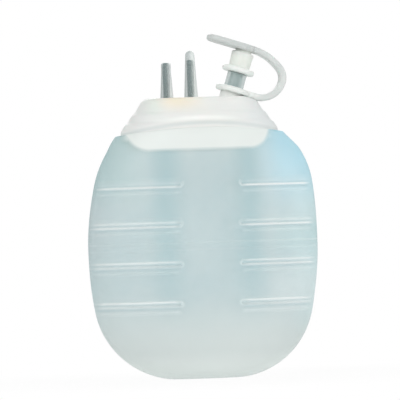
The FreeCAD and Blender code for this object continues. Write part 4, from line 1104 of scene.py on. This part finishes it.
def white_for_the_camera(tree, plain, output_socket):
    """Mixes a shader towards plain white for rays that show it to the camera, in gloss or through glass.

    The object's shadow stays near its foot.
    """
    rays = tree.nodes.new("ShaderNodeLightPath")
    seen = math_node(tree, "ADD", rays.outputs["Is Camera Ray"], rays.outputs["Is Glossy Ray"], clamp=True)
    seen = math_node(tree, "ADD", seen, rays.outputs["Is Transmission Ray"], clamp=True)
    apart = tree.nodes.new("ShaderNodeVectorMath")
    apart.operation = "LENGTH"
    tree.links.new(place_of(tree), apart.inputs[0])
    share = rising(tree, apart.outputs["Value"], 30, 160)
    share = math_node(tree, "MULTIPLY_ADD", share, 0.12, 0.88)
    factor = math_node(tree, "MULTIPLY", seen, share)
    white = tree.nodes.new("ShaderNodeEmission")
    white.inputs["Color"].default_value = (1, 1, 1, 1)
    white.inputs["Strength"].default_value = 1.0
    mix = tree.nodes.new("ShaderNodeMixShader")
    tree.links.new(factor, mix.inputs[0])
    tree.links.new(plain, mix.inputs[1])
    tree.links.new(white.outputs[0], mix.inputs[2])
    tree.links.new(mix.outputs[0], output_socket)


def make_world():
    """A white world that lights the object at part of the strength at which it shows."""
    world = bpy.data.worlds.new("studio")
    bpy.context.scene.world = world
    world.use_nodes = True
    tree = world.node_tree
    background = tree.nodes["Background"]
    background.inputs["Color"].default_value = (1, 1, 1, 1)
    rays = tree.nodes.new("ShaderNodeLightPath")
    camera, through = rays.outputs["Is Camera Ray"], rays.outputs["Is Transmission Ray"]
    seen = math_node(tree, "ADD", camera, through, clamp=True)
    strength = math_node(tree, "MULTIPLY_ADD", seen, 1 - WORLD_STRENGTH, WORLD_STRENGTH)
    tree.links.new(strength, background.inputs["Strength"])


def make_floor():
    """A wide white floor just under the bulb."""
    corners = [(x * FLOOR_HALF, y * FLOOR_HALF, 0) for x, y in ((-1, -1), (1, -1), (1, 1), (-1, 1))]
    material, tree, shader = material_with("floor_white", (0.9, 0.9, 0.9), Roughness=0.6)
    output = tree.nodes["Material Output"]
    white_for_the_camera(tree, shader.outputs[0], output.inputs["Surface"])
    floor = new_object("studio_floor", corners, [(0, 1, 2, 3)], material, smooth=False)
    floor.location.z = -FLOOR_DROP * MM


def make_camera():
    """A camera that looks at the object as the photograph does."""
    data = bpy.data.cameras.new("camera")
    data.sensor_width = SENSOR_WIDTH
    data.lens = SENSOR_WIDTH * DISTANCE / VIEW_WIDTH
    data.clip_end = 20
    camera = bpy.data.objects.new("camera", data)
    back = Vector((
        math.sin(AZIMUTH) * math.cos(ELEVATION),
        -math.cos(AZIMUTH) * math.cos(ELEVATION),
        math.sin(ELEVATION),
    ))
    camera.location = AIM + back * DISTANCE
    turn = back.to_track_quat("Z", "Y").to_matrix() @ Matrix.Rotation(-ROLL, 3, "Z")
    camera.rotation_euler = turn.to_euler()
    bpy.context.scene.collection.objects.link(camera)
    bpy.context.scene.camera = camera


# The scene
silicone = make_bulb_silicone()
cap_look = make_cap_silicone()
# The bores are painted dark, as painted shade inside the clear tubes
inlet_bore = make_clear("inlet_bore_shade_look", (0.06, 0.13, 0.13), 0.5, 0.3)
open_looks = [
    make_clear("open_inlet_look", (0.80, 0.88, 0.87), 0.36, shaded=-INLET_OPEN_OFFSET, edge=0.2),
    inlet_bore,
]
sealed_looks = [
    make_clear("sealed_inlet_look", (0.78, 0.88, 0.84), 0.34, shaded=-INLET_SEALED_OFFSET, edge=0.2),
    inlet_bore,
]
spout_looks = [
    make_clear("spout_wall_look", (0.60, 0.73, 0.72), 0.44, edge=0.1),
    # Painted shade in the spout's bore
    make_clear("spout_bore_shade_look", (0.26, 0.43, 0.45), 0.4, 0.3),
]
amber = make_amber()
white = make_closure_white()

for node, look in {
    "inlet_valve_open_side": amber,
    "inlet_valve_sealed_side": amber,
    "tether_collar": white,
    "stopper": white,
}.items():
    materials = nodes[node].data.materials
    materials.clear()
    materials.append(look)

bulb = make_bulb(silicone, make_inner_silicone())
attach(bulb, "reservoir")
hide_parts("bulb")

for node, (make, looks) in {
    "inlet_port_open": (make_open_inlet, open_looks),
    "inlet_port_sealed": (make_sealed_inlet, sealed_looks),
    "spout_tube": (make_spout, spout_looks),
}.items():
    tube = make(looks)
    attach(tube, "reservoir")
    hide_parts(node)

cap = make_cap(cap_look)
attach(cap, "reservoir")
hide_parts("port_cap")

strap = make_strap(white)
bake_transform(strap)
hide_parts("tether_strap")

make_world()
make_floor()
area_light("key", (-0.55, -0.75, 0.75), (0, 0, 0.05), (0.7, 0.7), 5.0)
area_light("fill", (0.8, -0.6, 0.35), (0, 0, 0.05), (0.6, 0.8), 3.0)
area_light("back", (0.1, 0.9, 0.6), (0, 0, 0.05), (0.9, 0.5), 3.0)
make_camera()
bpy.context.scene.view_settings.view_transform = "Standard"
